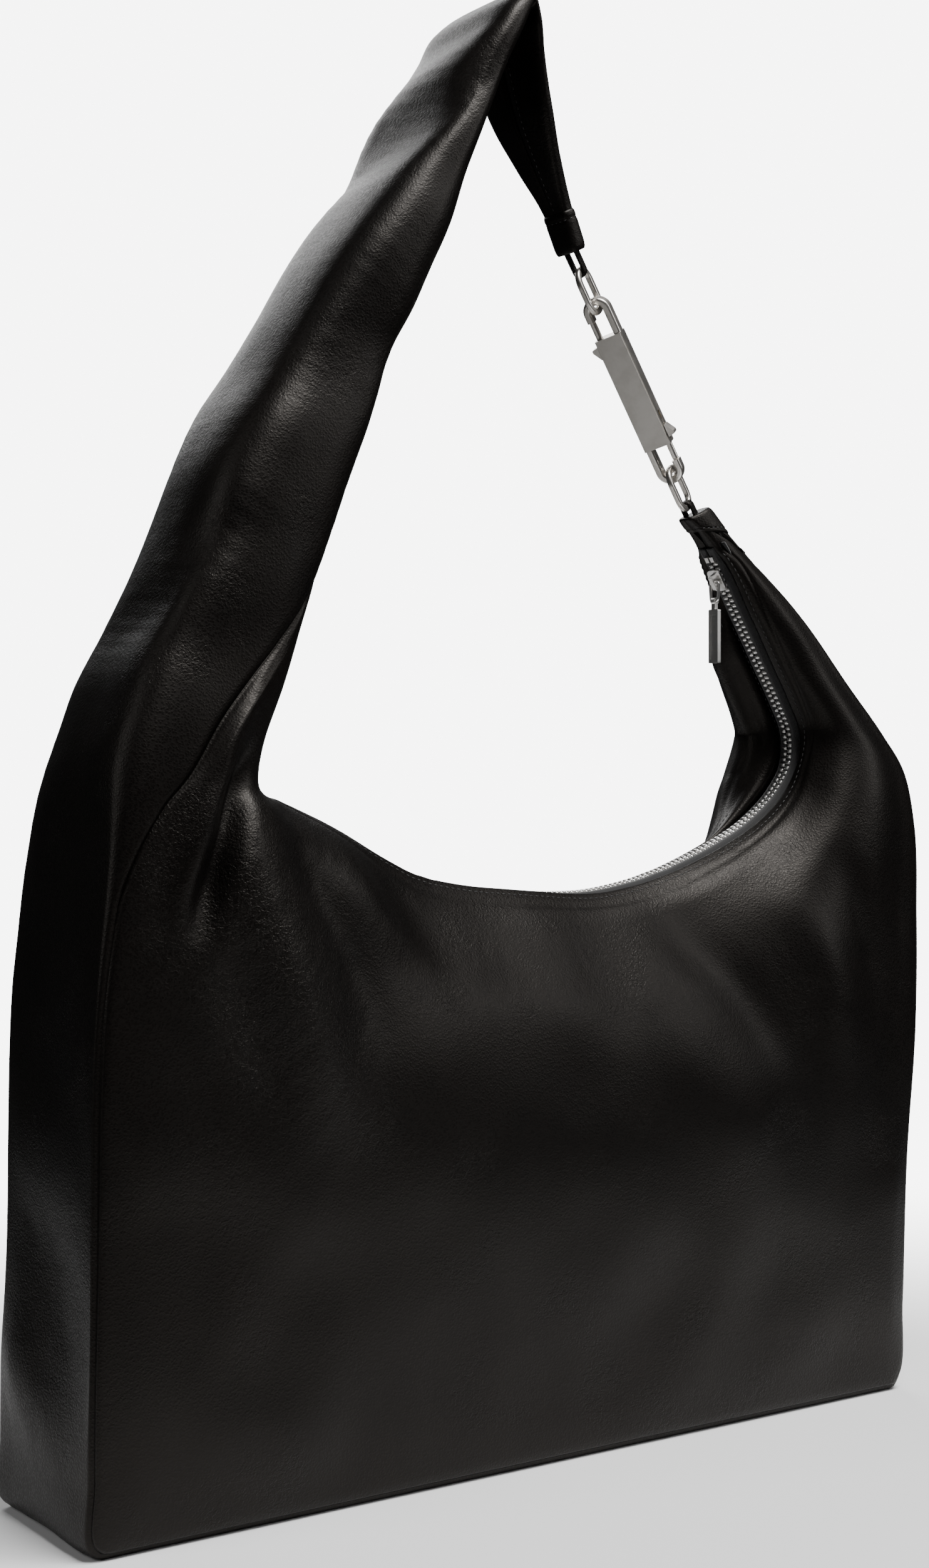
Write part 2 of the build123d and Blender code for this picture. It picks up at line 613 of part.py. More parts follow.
def build():
    """Build every sub-part and write it."""
    os.makedirs("parts", exist_ok=True)
    inset = SKIN + LINING_GAP
    write("front_panel", panel(-1, 0.0, SKIN, STATIONS))
    write("back_panel", panel(1, 0.0, SKIN, STATIONS))
    write("gusset_left", band(0.0, SKIN, STATIONS[:6]))
    write("gusset_base", flat_base())
    write("gusset_right", band(0.0, SKIN, STATIONS[9:]))
    write("lining_front", panel(-1, inset, LINING, STATIONS[1:-2]))
    write("lining_back", panel(1, inset, LINING, STATIONS[1:-2]))
    write("lining_left", band(inset, LINING, STATIONS[1:6]))
    write("lining_base", band(inset, LINING, STATIONS[5:10]))
    write("lining_right", band(inset, LINING, STATIONS[9:-2]))
    write("slip_pocket", panel(1, inset + LINING + 0.1, LINING, STATIONS[6:9], 2, 5))
    write("base_board", base_board())
    write("root_bridge", inner_band(STATIONS[:3]))
    write("strap_outer", strap_outer(STRAP))
    write("strap_inner", strap_inner(STRAP))
    write("strap_webbing", webbing(STRAP[:5]))
    half = COLLAR_WIDTH / 2
    write("strap_collar", collar(END_OUTER, END_INNER, NECK_OUTER, NECK_INNER, half, half))
    horn_out = normal_of(HORN_TIP, along(HORN_TIP, CHAIN_DOWN, 1.0))
    horn_outer = along(HORN_TIP, horn_out, COLLAR_THICK / 2)
    horn_inner = along(HORN_TIP, horn_out, -COLLAR_THICK / 2)
    last = STATIONS[-1]
    sleeve = collar(horn_outer, horn_inner, last.outer, last.inner, last.outer_half, half)
    write("horn_collar", sleeve)
    for name, hand in (("front", -1), ("back", 1)):
        low, high = -TAPE_THICK / 2, TAPE_THICK / 2
        tape = zip_strip(hand, TEETH_HALF_WIDTH, ZIP_HALF_GAP, low, high, TAPE_CLEAR, TAPE_CLEAR)
        write(f"zip_tape_{name}", tape)
        low, high = -TEETH_THICK / 2, TEETH_THICK / 2
        lead = TAPE_CLEAR + STOP_LENGTH + 0.1
        tail = TAPE_CLEAR + END_STOP_LENGTH + 0.1
        write(f"zip_teeth_{name}", zip_strip(hand, TEETH_SLIT, TEETH_HALF_WIDTH, low, high, lead, tail))
        write(f"zip_stop_{name}", zip_stop(hand))
    write("zip_end_stop", end_stop())
    write("zip_slider", SLIDER_PLANE.location * slider())
    write("zip_bail", bail())
    write("zip_pull", pull_tab())
    write("upper_link", on_chain(link(), LINK_AT))
    write("lower_link", on_chain(link(), -LINK_AT))
    write("upper_loop", on_chain(leather_loop(22.0), LINK_EYE))
    write("lower_loop", on_chain(half_turn(leather_loop(9.0)), -LINK_EYE))
    write("hook_frame", on_chain(hook_frame()))
    write("hook_plate_front", on_chain(cover_plate(-1)))
    write("hook_plate_back", on_chain(cover_plate(1)))
    for name, turn in (("upper", lambda shape: shape), ("lower", half_turn)):
        write(f"{name}_gate_pin", on_chain(turn(gate_pin())))
        write(f"{name}_thumb_piece", on_chain(turn(thumb_piece())))
        write(f"{name}_gate_spring", on_chain(turn(gate_spring())))


build()
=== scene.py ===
"""Looks of a large slouching leather shoulder bag with a folded strap, a hook chain and a curved zip."""

import json
import logging
import math
from dataclasses import dataclass, field
from enum import Enum

import bmesh
import bpy
import numpy as np
from mathutils import Matrix, Vector, noise
from mathutils.bvhtree import BVHTree


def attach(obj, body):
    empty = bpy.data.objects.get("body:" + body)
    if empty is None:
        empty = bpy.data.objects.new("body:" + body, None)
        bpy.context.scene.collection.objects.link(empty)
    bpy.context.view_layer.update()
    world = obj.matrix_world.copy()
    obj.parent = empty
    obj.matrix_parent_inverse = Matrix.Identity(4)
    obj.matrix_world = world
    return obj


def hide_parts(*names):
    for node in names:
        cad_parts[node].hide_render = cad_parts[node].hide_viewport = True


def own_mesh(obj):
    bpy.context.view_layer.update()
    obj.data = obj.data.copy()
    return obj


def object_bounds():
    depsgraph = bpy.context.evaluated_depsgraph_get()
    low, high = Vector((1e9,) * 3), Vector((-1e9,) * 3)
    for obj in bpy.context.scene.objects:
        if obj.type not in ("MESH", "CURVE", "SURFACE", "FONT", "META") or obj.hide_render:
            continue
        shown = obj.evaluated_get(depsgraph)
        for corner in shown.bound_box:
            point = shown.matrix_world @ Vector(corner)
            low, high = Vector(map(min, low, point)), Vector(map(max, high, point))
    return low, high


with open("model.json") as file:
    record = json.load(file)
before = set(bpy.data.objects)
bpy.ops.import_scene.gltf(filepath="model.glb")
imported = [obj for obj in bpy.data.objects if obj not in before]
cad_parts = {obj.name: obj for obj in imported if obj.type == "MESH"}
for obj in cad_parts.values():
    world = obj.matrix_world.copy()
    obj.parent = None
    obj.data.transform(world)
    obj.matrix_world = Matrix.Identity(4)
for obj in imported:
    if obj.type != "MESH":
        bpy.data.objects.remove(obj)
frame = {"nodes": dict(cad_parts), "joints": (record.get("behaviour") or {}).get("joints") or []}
CAD_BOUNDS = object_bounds()

LOG = logging.getLogger("bag")
MM = 0.001
PATTERN_RIGHT = 246.97
FRONT = -1.0
BACK = 1.0

# outer x, z | inner x, z | half depth at the outer edge, at the belly, at the mouth | tube | seam place
SECTIONS = (
    (50.5, 564.5, 42.2, 560.5, 6.5, 6.5, 2.0, 1.0, 0.06),
    (41.5, 583.0, 34.2, 579.5, 8.5, 8.5, 2.0, 1.0, 0.06),
    (30.5, 604.5, 22.6, 600.0, 15.0, 15.0, 4.0, 1.0, 0.06),
    (22.0, 621.0, 12.5, 620.0, 21.5, 21.5, 6.0, 1.0, 0.06),
    (16.5, 632.0, 8.0, 633.0, 24.5, 24.5, 8.0, 1.0, 0.06),
    (10.0, 646.0, 3.5, 647.0, 28.5, 28.5, 10.0, 1.0, 0.06),
    (4.0, 660.0, 0.5, 655.0, 33.0, 33.0, 10.0, 1.0, 0.06),
    (-3.0, 671.0, -2.0, 661.5, 35.0, 35.0, 12.0, 1.0, 0.06),
    (-14.32, 663.81, -5.22, 655.52, 36.46, 36.46, 12.0, 1.0, 0.06),
    (-23.2, 649.35, -11.1, 642.2, 37.1, 37.1, 14.0, 1.0, 0.06),
    (-43.52, 617.16, -26.92, 606.52, 38.06, 38.06, 16.0, 1.0, 0.06),
    (-67.4, 584.7, -42.9, 567.9, 38.2, 38.2, 16.0, 1.0, 0.06),
    (-91.4, 552.7, -58.9, 530.4, 38.2, 38.2, 18.0, 1.0, 0.06),
    (-121.4, 506.2, -80.1, 481.3, 38.2, 38.2, 18.0, 1.0, 0.06),
    (-147.96, 461.43, -100.16, 433.06, 38.88, 38.88, 20.0, 1.0, 0.7),
    (-170.2, 416.95, -117.9, 387.4, 39.6, 39.6, 20.0, 1.0, 2.0),
    (-191.0, 374.0, -132.5, 346, 41.0, 42.0, 20.0, 0.95, 3.3),
    (-204.0, 345.0, -142, 322, 43.0, 45.0, 20.0, 0.8, 3.9),
    (-212.0, 315.0, -142, 306, 43.5, 47.0, 16.0, 0.5, 4.5),
    (-217.0, 280.0, -127, 300, 43.5, 50.0, 10.0, 0.2, 5.65),
    (-224.0, 225.0, -100.0, 288.5, 43.5, 52.0, 7.5, 0.0, 6.2),
    (-227.0, 110.0, -68.0, 271.5, 43.5, 54.0, 7.5, 0.0, 6.4),
    (-229.0, 30.0, -52.0, 264.0, 45.5, 54.0, 7.5, 0.0, 6.4),
    (-228.5, 3.5, -48.0, 263.0, 45.5, 54.0, 7.5, 0.0, 6.4),
    (-224.5, 0.2, -45.0, 262.0, 45.5, 54.0, 7.5, 0.0, 6.4),
    (-195.0, 0.0, -40.0, 261.0, 45.5, 54.0, 7.5, 0.0, 6.4),
    (-100.0, 0.0, -18.0, 257.5, 45.5, 54.0, 7.5, 0.0, 6.4),
    (20.0, 0.0, 20.0, 255.5, 45.5, 55.0, 7.5, 0.0, 6.4),
    (130.0, 0.0, 60.0, 256.0, 45.5, 55.0, 7.5, 0.0, 6.4),
    (198.0, 0.0, 90.0, 261.5, 45.5, 54.0, 7.5, 0.0, 6.4),
    (220.0, 0.2, 95.0, 263.0, 45.5, 54.0, 7.5, 0.0, 6.4),
    (223.5, 4.0, 99.0, 264.0, 45.5, 54.0, 7.5, 0.0, 6.4),
    (226.0, 40.0, 110.0, 267.5, 45.5, 54.0, 7.5, 0.0, 6.4),
    (231.0, 110.0, 136.0, 277.5, 43.5, 53.0, 7.5, 0.0, 6.4),
    (238.0, 180.0, 160.0, 290.0, 43.5, 50.0, 7.5, 0.0, 6.4),
    (243.0, 235.0, 178.0, 305.0, 40.0, 46.0, 7.5, 0.0, 6.4),
    (246.0, 285.0, 187.0, 321.0, 36.0, 41.0, 7.5, 0.0, 6.4),
    (243.0, 312.0, 186.5, 335.0, 32.0, 36.0, 7.5, 0.0, 6.4),
    (232.0, 331.0, 179.34, 349.03, 28.0, 31.0, 7.5, 0.0, 6.4),
    (212.0, 357.0, 168.0, 367.2, 23.0, 25.0, 7.5, 0.0, 6.4),
    (186.0, 389.0, 152.5, 392.0, 18.5, 20.0, 7.5, 0.0, 6.4),
    (159.0, 416.0, 133.77, 421.96, 12.0, 13.0, 5.5, 0.1, 6.2),
    (145.0, 431.0, 125.0, 432.0, 7.8, 8.0, 0.6, 0.35, 4.5),
    (131.0, 446.0, 117.0, 439.5, 4.8, 4.8, 0.6, 1.0, 1.2),
)
OUTER_X, OUTER_Z, INNER_X, INNER_Z, EDGE, BELLY, MOUTH, TUBE, SEAM = range(9)
GUSSET_MIDDLE = 8.0

# stations, counted in rows of the table above
TAPE_NEAR, TAPE_FAR = 1.0, 15.0
STRAP_LOW = 14.2
MOUTH_SHUT, MOUTH_OPEN = 17.0, 19.5
SLACK_NEAR = 18.0
ROOT_END = 19.4
ZIP_FAR = 20.15
LINING_NEAR, LINING_FAR = 20.2, 40.0
EASE_NEAR, EASE_FAR = 20.4, 38.0
BASE_NEAR, BASE_FAR = 23.0, 31.0
POCKET_NEAR, POCKET_FAR = 25.4, 28.4
LIFT_NEAR, LIFT_FAR = 26.2, 28.2
BULGE_NEAR, BULGE_FAR = 33.0, 40.5
PINCH_NEAR, PINCH_FAR = 39.0, 41.45
ZIP_NEAR = 41.0
TIP_OPEN, TIP_SHUT = 41.6, 42.45
HORN_END = 43.0


class Slot(str, Enum):
    """Material slots of the record that new pieces take their finish from."""

    LEATHER = "black_leather"
    LINING = "lining_cloth"
    TAPE = "zip_tape"
    BOARD = "stiff_board"
    ZIP_METAL = "zip_metal"
    HOOK_METAL = "hook_metal"
    SATIN_METAL = "satin_metal"
    BRASS = "spring_brass"


class Piece(str, Enum):
    """The two panels of the bag by the side they are on."""

    FRONT = "front"
    BACK = "back"


# ---------------------------------------------------------------- node graphs


class Graph:
    """Short way to add and join the nodes of one node tree."""

    def __init__(self, tree: bpy.types.NodeTree) -> None:
        """Keep the tree that nodes are added to.

        Args:
            tree: the shader node tree.
        """
        self.tree = tree

    def add(self, kind: str, **values: object) -> bpy.types.Node:
        """Add a node and set its properties.

        Args:
            kind: the node's type name.
            values: properties to set on the node.

        Returns:
            The new node.
        """
        node = self.tree.nodes.new(kind)
        for name, value in values.items():
            setattr(node, name, value)
        return node

    def link(self, value: bpy.types.NodeSocket, socket: bpy.types.NodeSocket) -> None:
        """Lead one socket into another."""
        self.tree.links.new(value, socket)

    def feed(self, node: bpy.types.Node, **inputs: object) -> bpy.types.Node:
        """Set or link a node's inputs by name, with spaces written as underscores.

        Args:
            node: the node whose inputs are set.
            inputs: a socket to link from, or a value, for each input.

        Returns:
            The same node.
        """
        for name, value in inputs.items():
            by_place = name[0] == "n" and name[1:].isdigit()
            socket = node.inputs[int(name[1:]) if by_place else name.replace("_", " ")]
            if isinstance(value, bpy.types.NodeSocket):
                self.link(value, socket)
            else:
                socket.default_value = value
        return node

    def math(self, operation: str, first: object, second: object = 0.0) -> bpy.types.NodeSocket:
        """Join two numbers by a math node.

        Args:
            operation: the math node's operation.
            first: the first socket or number.
            second: the second socket or number.

        Returns:
            The result's socket.
        """
        node = self.add("ShaderNodeMath", operation=operation)
        self.feed(node, n0=first, n1=second)
        return node.outputs[0]

    def ramp(self, value: object, low: float, high: float, start: float, end: float) -> bpy.types.NodeSocket:
        """Map a number from one span to another, clamped and smooth.

        Args:
            value: the socket to map.
            low: the value that gives start.
            high: the value that gives end.
            start: the result at low.
            end: the result at high.

        Returns:
            The result's socket.
        """
        node = self.add("ShaderNodeMapRange", interpolation_type="SMOOTHSTEP")
        self.feed(node, n0=value, n1=low, n2=high, n3=start, n4=end)
        return node.outputs[0]

    def noise(
        self, where: object, scale: float, detail: float = 3.0, rough: float = 0.5,
    ) -> bpy.types.NodeSocket:
        """Noise over a place.

        Args:
            where: the coordinates' socket.
            scale: cells per metre.
            detail: octaves of detail.
            rough: weight of the finer octaves.

        Returns:
            The noise value's socket.
        """
        node = self.add("ShaderNodeTexNoise")
        self.feed(node, Vector=where, Scale=scale, Detail=detail, Roughness=rough)
        return node.outputs[0]

    def tint(self, factor: object, first: object, second: object) -> bpy.types.NodeSocket:
        """Mix two colours.

        Args:
            factor: the share of the second colour.
            first: the first colour or socket.
            second: the second colour or socket.

        Returns:
            The colour's socket.
        """
        node = self.add("ShaderNodeMix", data_type="RGBA")
        self.feed(node, n0=factor, n6=first, n7=second)
        return node.outputs[2]


def new_group(
    name: str, inputs: dict[str, float], outputs: tuple[str, ...],
) -> tuple[bpy.types.NodeTree, Graph, dict, dict]:
    """Start a shader node group with number inputs and number outputs.

    Args:
        name: the group's name.
        inputs: each input's name and default.
        outputs: the outputs' names.

    Returns:
        The group, its graph, its input sockets and its output sockets.
    """
    tree = bpy.data.node_groups.new(name, "ShaderNodeTree")
    for label, value in inputs.items():
        socket = tree.interface.new_socket(name=label, in_out="INPUT", socket_type="NodeSocketFloat")
        socket.default_value = value
    for label in outputs:
        tree.interface.new_socket(name=label, in_out="OUTPUT", socket_type="NodeSocketFloat")
    graph = Graph(tree)
    start = graph.add("NodeGroupInput")
    end = graph.add("NodeGroupOutput")
    return tree, graph, dict(start.outputs.items()), dict(end.inputs.items())


def leather_grain() -> bpy.types.NodeTree:
    """Group for leather: pebbled grain, fine wrinkles and slow changes of tone.

    Returns:
        The node group.
    """
    tree, g, given, out = new_group(
        "leather_grain",
        {"Cells": 900.0, "Crumple": 0.0, "Soften": 0.0},
        ("Height", "Tone", "Gloss", "Crack"),
    )
    place = g.add("ShaderNodeTexCoord").outputs["Object"]
    drift = g.noise(place, 60.0, 2.0)
    bent = g.add("ShaderNodeVectorMath", operation="ADD")
    wander = g.add("ShaderNodeTexNoise")
    g.feed(wander, Vector=place, Scale=420.0, Detail=2.0)
    shift = g.add("ShaderNodeVectorMath", operation="SCALE")
    g.feed(shift, n0=wander.outputs[1], n3=0.0011)
    g.feed(bent, n0=place, n1=shift.outputs[0])
    cells = g.add("ShaderNodeTexVoronoi", feature="F1")
    g.feed(cells, Vector=bent.outputs[0], Scale=given["Cells"])
    pebble = g.ramp(cells.outputs["Distance"], 0.1, 0.75, 1.0, 0.0)
    pores = g.noise(place, 2600.0, 2.0, 0.6)
    long_way = g.noise(bent.outputs[0], 210.0, 3.0, 0.62)
    short_way = g.noise(bent.outputs[0], 430.0, 2.0, 0.55)
    crack_long = g.ramp(g.math("ABSOLUTE", g.math("SUBTRACT", long_way, 0.5)), 0.0, 0.075, 1.0, 0.0)
    crack_short = g.ramp(g.math("ABSOLUTE", g.math("SUBTRACT", short_way, 0.5)), 0.0, 0.06, 1.0, 0.0)
    crack = g.math("MAXIMUM", crack_long, g.math("MULTIPLY", crack_short, 0.6))
    gate = g.ramp(g.noise(place, 26.0, 2.0), 0.45, 0.7, 0.0, 1.0)
    wear = g.math("MAXIMUM", g.math("MULTIPLY", gate, 0.35), given["Crumple"])
    # crack_here marks the cracks; it sets the bump and also the painted shade that darkens them in the
    # hide's colour
    crack_here = g.math("MULTIPLY", crack, wear)
    fine = g.math("ADD", g.math("MULTIPLY", pebble, 0.5), g.math("MULTIPLY", pores, 0.3))
    rise = g.math("ADD", 0.55, g.math("MULTIPLY", given["Crumple"], 0.9))
    body = g.math("MULTIPLY", fine, rise)
    height = g.math("SUBTRACT", body, g.math("MULTIPLY", crack_here, 1.5))
    calm = g.math("SUBTRACT", 1.0, given["Soften"])
    g.link(g.math("MULTIPLY", height, calm), out["Height"])
    slow = g.noise(place, 9.0, 3.0)
    tone = g.math("ADD", g.math("MULTIPLY", drift, 0.4), g.math("MULTIPLY", slow, 0.6))
    gloss = g.math("ADD", g.math("MULTIPLY", slow, 0.5), g.math("MULTIPLY", pebble, 0.5))
    g.link(tone, out["Tone"])
    g.link(gloss, out["Gloss"])
    g.link(crack_here, out["Crack"])
    return tree


def plain_weave() -> bpy.types.NodeTree:
    """Group for cloth: crossing threads laid out on the piece's own UV map, in metres.

    Returns:
        The node group.
    """
    tree, g, given, out = new_group("plain_weave", {"Threads": 1600.0, "Slant": 0.0}, ("Height", "Fuzz"))
    uv = g.add("ShaderNodeUVMap", uv_map="cloth").outputs[0]
    split = g.add("ShaderNodeSeparateXYZ")
    g.feed(split, n0=uv)
    along, across = split.outputs[0], split.outputs[1]
    tilted = g.math("ADD", across, g.math("MULTIPLY", along, given["Slant"]))
    warp = g.math("SINE", g.math("MULTIPLY", g.math("MULTIPLY", along, given["Threads"]), 2 * math.pi))
    weft = g.math("SINE", g.math("MULTIPLY", g.math("MULTIPLY", tilted, given["Threads"]), 2 * math.pi))
    crossed = g.math("MULTIPLY", warp, weft)
    g.link(g.math("ADD", g.math("MULTIPLY", crossed, 0.5), 0.5), out["Height"])
    place = g.add("ShaderNodeTexCoord").outputs["Object"]
    g.link(g.noise(place, 1500.0, 3.0, 0.7), out["Fuzz"])
    return tree


def metal_wear() -> bpy.types.NodeTree:
    """Group for metal: fine scratches, finger marks and edge rubbing.

    Returns:
        The node group.
    """
    tree, g, given, out = new_group(
        "metal_wear",
        {"Scratch": 500.0, "Stretch": 0.08},
        ("Height", "Smear", "Scratches"),
    )
    place = g.add("ShaderNodeTexCoord").outputs["Object"]
    long_scale = g.add("ShaderNodeCombineXYZ")
    scratch = given["Scratch"]
    g.feed(long_scale, n0=scratch, n1=scratch, n2=g.math("MULTIPLY", scratch, given["Stretch"]))
    scaled = g.add("ShaderNodeVectorMath", operation="MULTIPLY")
    g.feed(scaled, n0=place, n1=long_scale.outputs[0])
    streak = g.noise(scaled.outputs[0], 6.0, 3.0, 0.65)
    smear = g.noise(place, 120.0, 3.0, 0.6)
    g.link(streak, out["Height"])
    g.link(smear, out["Smear"])
    g.link(g.ramp(streak, 0.58, 0.7, 0.0, 1.0), out["Scratches"])
    return tree


@dataclass
class Groups:
    """Node groups that several finishes share."""

    grain: bpy.types.NodeTree
    weave: bpy.types.NodeTree
    wear: bpy.types.NodeTree


def start_material(name: str) -> tuple[bpy.types.Material, Graph, bpy.types.Node]:
    """Empty material with a Principled shader.

    Args:
        name: the material's name.

    Returns:
        The material, its graph and the shader node.
    """
    material = bpy.data.materials.new(name)
    material.use_nodes = True
    graph = Graph(material.node_tree)
    return material, graph, material.node_tree.nodes["Principled BSDF"]


def place_group(g: Graph, tree: bpy.types.NodeTree, **inputs: object) -> bpy.types.Node:
    """Put a node group in a material with its own values.

    Args:
        g: the material's graph.
        tree: the node group.
        inputs: the group's inputs.

    Returns:
        The group node.
    """
    node = g.add("ShaderNodeGroup")
    node.node_tree = tree
    return g.feed(node, **inputs)


def add_bump(
    g: Graph, shader: bpy.types.Node, height: bpy.types.NodeSocket, depth: float, strength: float,
) -> None:
    """Feed a height to the shader's normal.

    Args:
        g: the material's graph.
        shader: the Principled node.
        height: the height's socket, from 0 to 1.
        depth: the height of 1, in metres.
        strength: share of the effect.
    """
    bump = g.add("ShaderNodeBump")
    g.feed(bump, Strength=strength, Distance=depth, Height=height)
    g.link(bump.outputs[0], shader.inputs["Normal"])


@dataclass(frozen=True)
class LeatherFinish:
    """Smooth black hide with a fine grain."""

    name: str
    dark: tuple[float, float, float] = (0.0008, 0.0006, 0.0006)
    light: tuple[float, float, float] = (0.0024, 0.0018, 0.0016)
    sheen_tint: tuple[float, float, float, float] = (1.0, 0.92, 0.84, 1.0)
    dull: float = 0.46
    shiny: float = 0.36
    gloss: float = 0.19
    cells: float = 900.0
    depth: float = 0.00022
    soften: float = 0.0
    coat: float = 0.015

    def make(self, groups: Groups) -> bpy.types.Material:
        """Build the material.

        Args:
            groups: the shared node groups.

        Returns:
            The material.
        """
        material, g, shader = start_material(self.name)
        crumple = g.add("ShaderNodeAttribute", attribute_name="crumple").outputs["Fac"]
        node = place_group(g, groups.grain, Cells=self.cells, Crumple=crumple, Soften=self.soften)
        tone = g.ramp(node.outputs["Tone"], 0.3, 0.7, 0.0, 1.0)
        base = g.tint(tone, (*self.dark, 1.0), (*self.light, 1.0))
        # painted shade: the colour darkens towards the dark tone along the grain's cracks, as if shade fell
        # in them
        crack_shaded_colour = g.tint(g.math("MULTIPLY", node.outputs["Crack"], 0.5), base, (*self.dark, 1.0))
        rough = g.ramp(node.outputs["Gloss"], 0.25, 0.75, self.dull, self.shiny)
        rough = g.math("ADD", rough, g.math("MULTIPLY", crumple, 0.07))
        g.feed(shader, Base_Color=crack_shaded_colour, Roughness=rough, Specular_IOR_Level=self.gloss)
        g.feed(shader, Specular_Tint=self.sheen_tint, Coat_Weight=self.coat, Coat_Roughness=0.32)
        add_bump(g, shader, node.outputs["Height"], self.depth, 0.8)
        return material


@dataclass(frozen=True)
class ClothFinish:
    """Woven cloth or tape."""

    name: str
    dark: tuple[float, float, float]
    light: tuple[float, float, float]
    threads: float = 1300.0
    slant: float = 0.0
    depth: float = 0.00018
    rough: float = 0.82
    sheen: float = 0.25

    def make(self, groups: Groups) -> bpy.types.Material:
        """Build the material.

        Args:
            groups: the shared node groups.

        Returns:
            The material.
        """
        material, g, shader = start_material(self.name)
        node = place_group(g, groups.weave, Threads=self.threads, Slant=self.slant)
        height, fuzz = node.outputs["Height"], node.outputs["Fuzz"]
        mixed = g.math("ADD", g.math("MULTIPLY", height, 0.7), g.math("MULTIPLY", fuzz, 0.3))
        base = g.tint(mixed, (*self.dark, 1.0), (*self.light, 1.0))
        rough = g.ramp(fuzz, 0.2, 0.8, self.rough - 0.08, self.rough + 0.08)
        g.feed(shader, Base_Color=base, Roughness=rough, Sheen_Weight=self.sheen, Sheen_Roughness=0.5)
        add_bump(g, shader, mixed, self.depth, 0.9)
        return material


@dataclass(frozen=True)
class MetalFinish:
    """Plated metal with fine scratches."""

    name: str
    bright: tuple[float, float, float]
    tarnish: tuple[float, float, float]
    rough: float = 0.2
    spread: float = 0.1
    scratch: float = 500.0
    stretch: float = 0.08
    depth: float = 0.00003

    def make(self, groups: Groups) -> bpy.types.Material:
        """Build the material.

        Args:
            groups: the shared node groups.

        Returns:
            The material.
        """
        material, g, shader = start_material(self.name)
        node = place_group(g, groups.wear, Scratch=self.scratch, Stretch=self.stretch)
        tone = g.ramp(node.outputs["Smear"], 0.35, 0.7, 0.0, 1.0)
        base = g.tint(tone, (*self.bright, 1.0), (*self.tarnish, 1.0))
        smeared = g.ramp(node.outputs["Smear"], 0.3, 0.7, self.rough, self.rough + self.spread)
        rough = g.math("ADD", smeared, g.math("MULTIPLY", node.outputs["Scratches"], 0.08))
        g.feed(shader, Base_Color=base, Roughness=rough, Metallic=1.0)
        add_bump(g, shader, node.outputs["Height"], self.depth, 0.5)
        return material


@dataclass(frozen=True)
class PlainFinish:
    """Even finish with a slight mottle, for thread and board."""

    name: str
    dark: tuple[float, float, float]
    light: tuple[float, float, float]
    rough: float = 0.7
    grain: float = 700.0
    depth: float = 0.0001

    def make(self) -> bpy.types.Material:
        """Build the material."""
        material, g, shader = start_material(self.name)
        place = g.add("ShaderNodeTexCoord").outputs["Object"]
        speck = g.noise(place, self.grain, 3.0, 0.6)
        base = g.tint(speck, (*self.dark, 1.0), (*self.light, 1.0))
        rough = g.ramp(speck, 0.2, 0.8, self.rough - 0.06, self.rough + 0.06)
        g.feed(shader, Base_Color=base, Roughness=rough)
        add_bump(g, shader, speck, self.depth, 0.5)
        return material


# ---------------------------------------------------------------- the leather form


def ease(share: np.ndarray) -> np.ndarray:
    """Share from 0 to 1 with a soft start and a soft end."""
    return share * share * (3 - 2 * share)


def bell(values: np.ndarray, middle: float, width: float) -> np.ndarray:
    """Share that is 1 at the middle and fades within about two widths."""
    return np.exp(-((values - middle) / width) ** 2)


def run_along(line: np.ndarray) -> np.ndarray:
    """Length along a line at each of its points, starting from 0."""
    return np.concatenate([[0.0], np.cumsum(np.linalg.norm(np.diff(line, axis=0), axis=1))])


def read_line(places: np.ndarray, run: np.ndarray, line: np.ndarray) -> np.ndarray:
    """Points of a line at lengths along it.

    Args:
        places: the lengths.
        run: the length at each of the line's own points.
        line: the line's points.

    Returns:
        A point for each length.
    """
    return np.stack([np.interp(places, run, line[:, i]) for i in range(3)], 1)


def blend(
    start: np.ndarray, end: np.ndarray, first: np.ndarray, last: np.ndarray, f: np.ndarray,
) -> np.ndarray:
    """Cubic curve between two points with a given slope at each.

    Args:
        start: where it starts.
        end: where it ends.
        first: the slope at the start, times the span.
        last: the slope at the end, times the span.
        f: shares of the way, from 0 to 1.

    Returns:
        The points.
    """
    return (
        start * (1 + 2 * f) * (1 - f) ** 2 + first * f * (1 - f) ** 2
        + end * f * f * (3 - 2 * f) + last * f * f * (f - 1)
    )


def smooth_lines(keys: np.ndarray, values: np.ndarray, wanted: np.ndarray) -> np.ndarray:
    """Smooth curves through values at uneven keys.

    Args:
        keys: the keys, rising.
        values: a row of values for each key.
        wanted: the places at which to read the curves.

    Returns:
        A row of values for each wanted place.
    """
    step = np.diff(keys)[:, None]
    slope = np.diff(values, axis=0) / step
    tangent = np.empty_like(values)
    tangent[1:-1] = (step[1:] * slope[:-1] + step[:-1] * slope[1:]) / (step[1:] + step[:-1])
    tangent[0] = slope[0]
    tangent[-1] = slope[-1]
    index = np.clip(np.searchsorted(keys, wanted, side="right") - 1, 0, len(keys) - 2)
    span = step[index, 0]
    f = ((wanted - keys[index]) / span)[:, None]
    span = span[:, None]
    start, end = values[index], values[index + 1]
    return blend(start, end, tangent[index] * span, tangent[index + 1] * span, f)


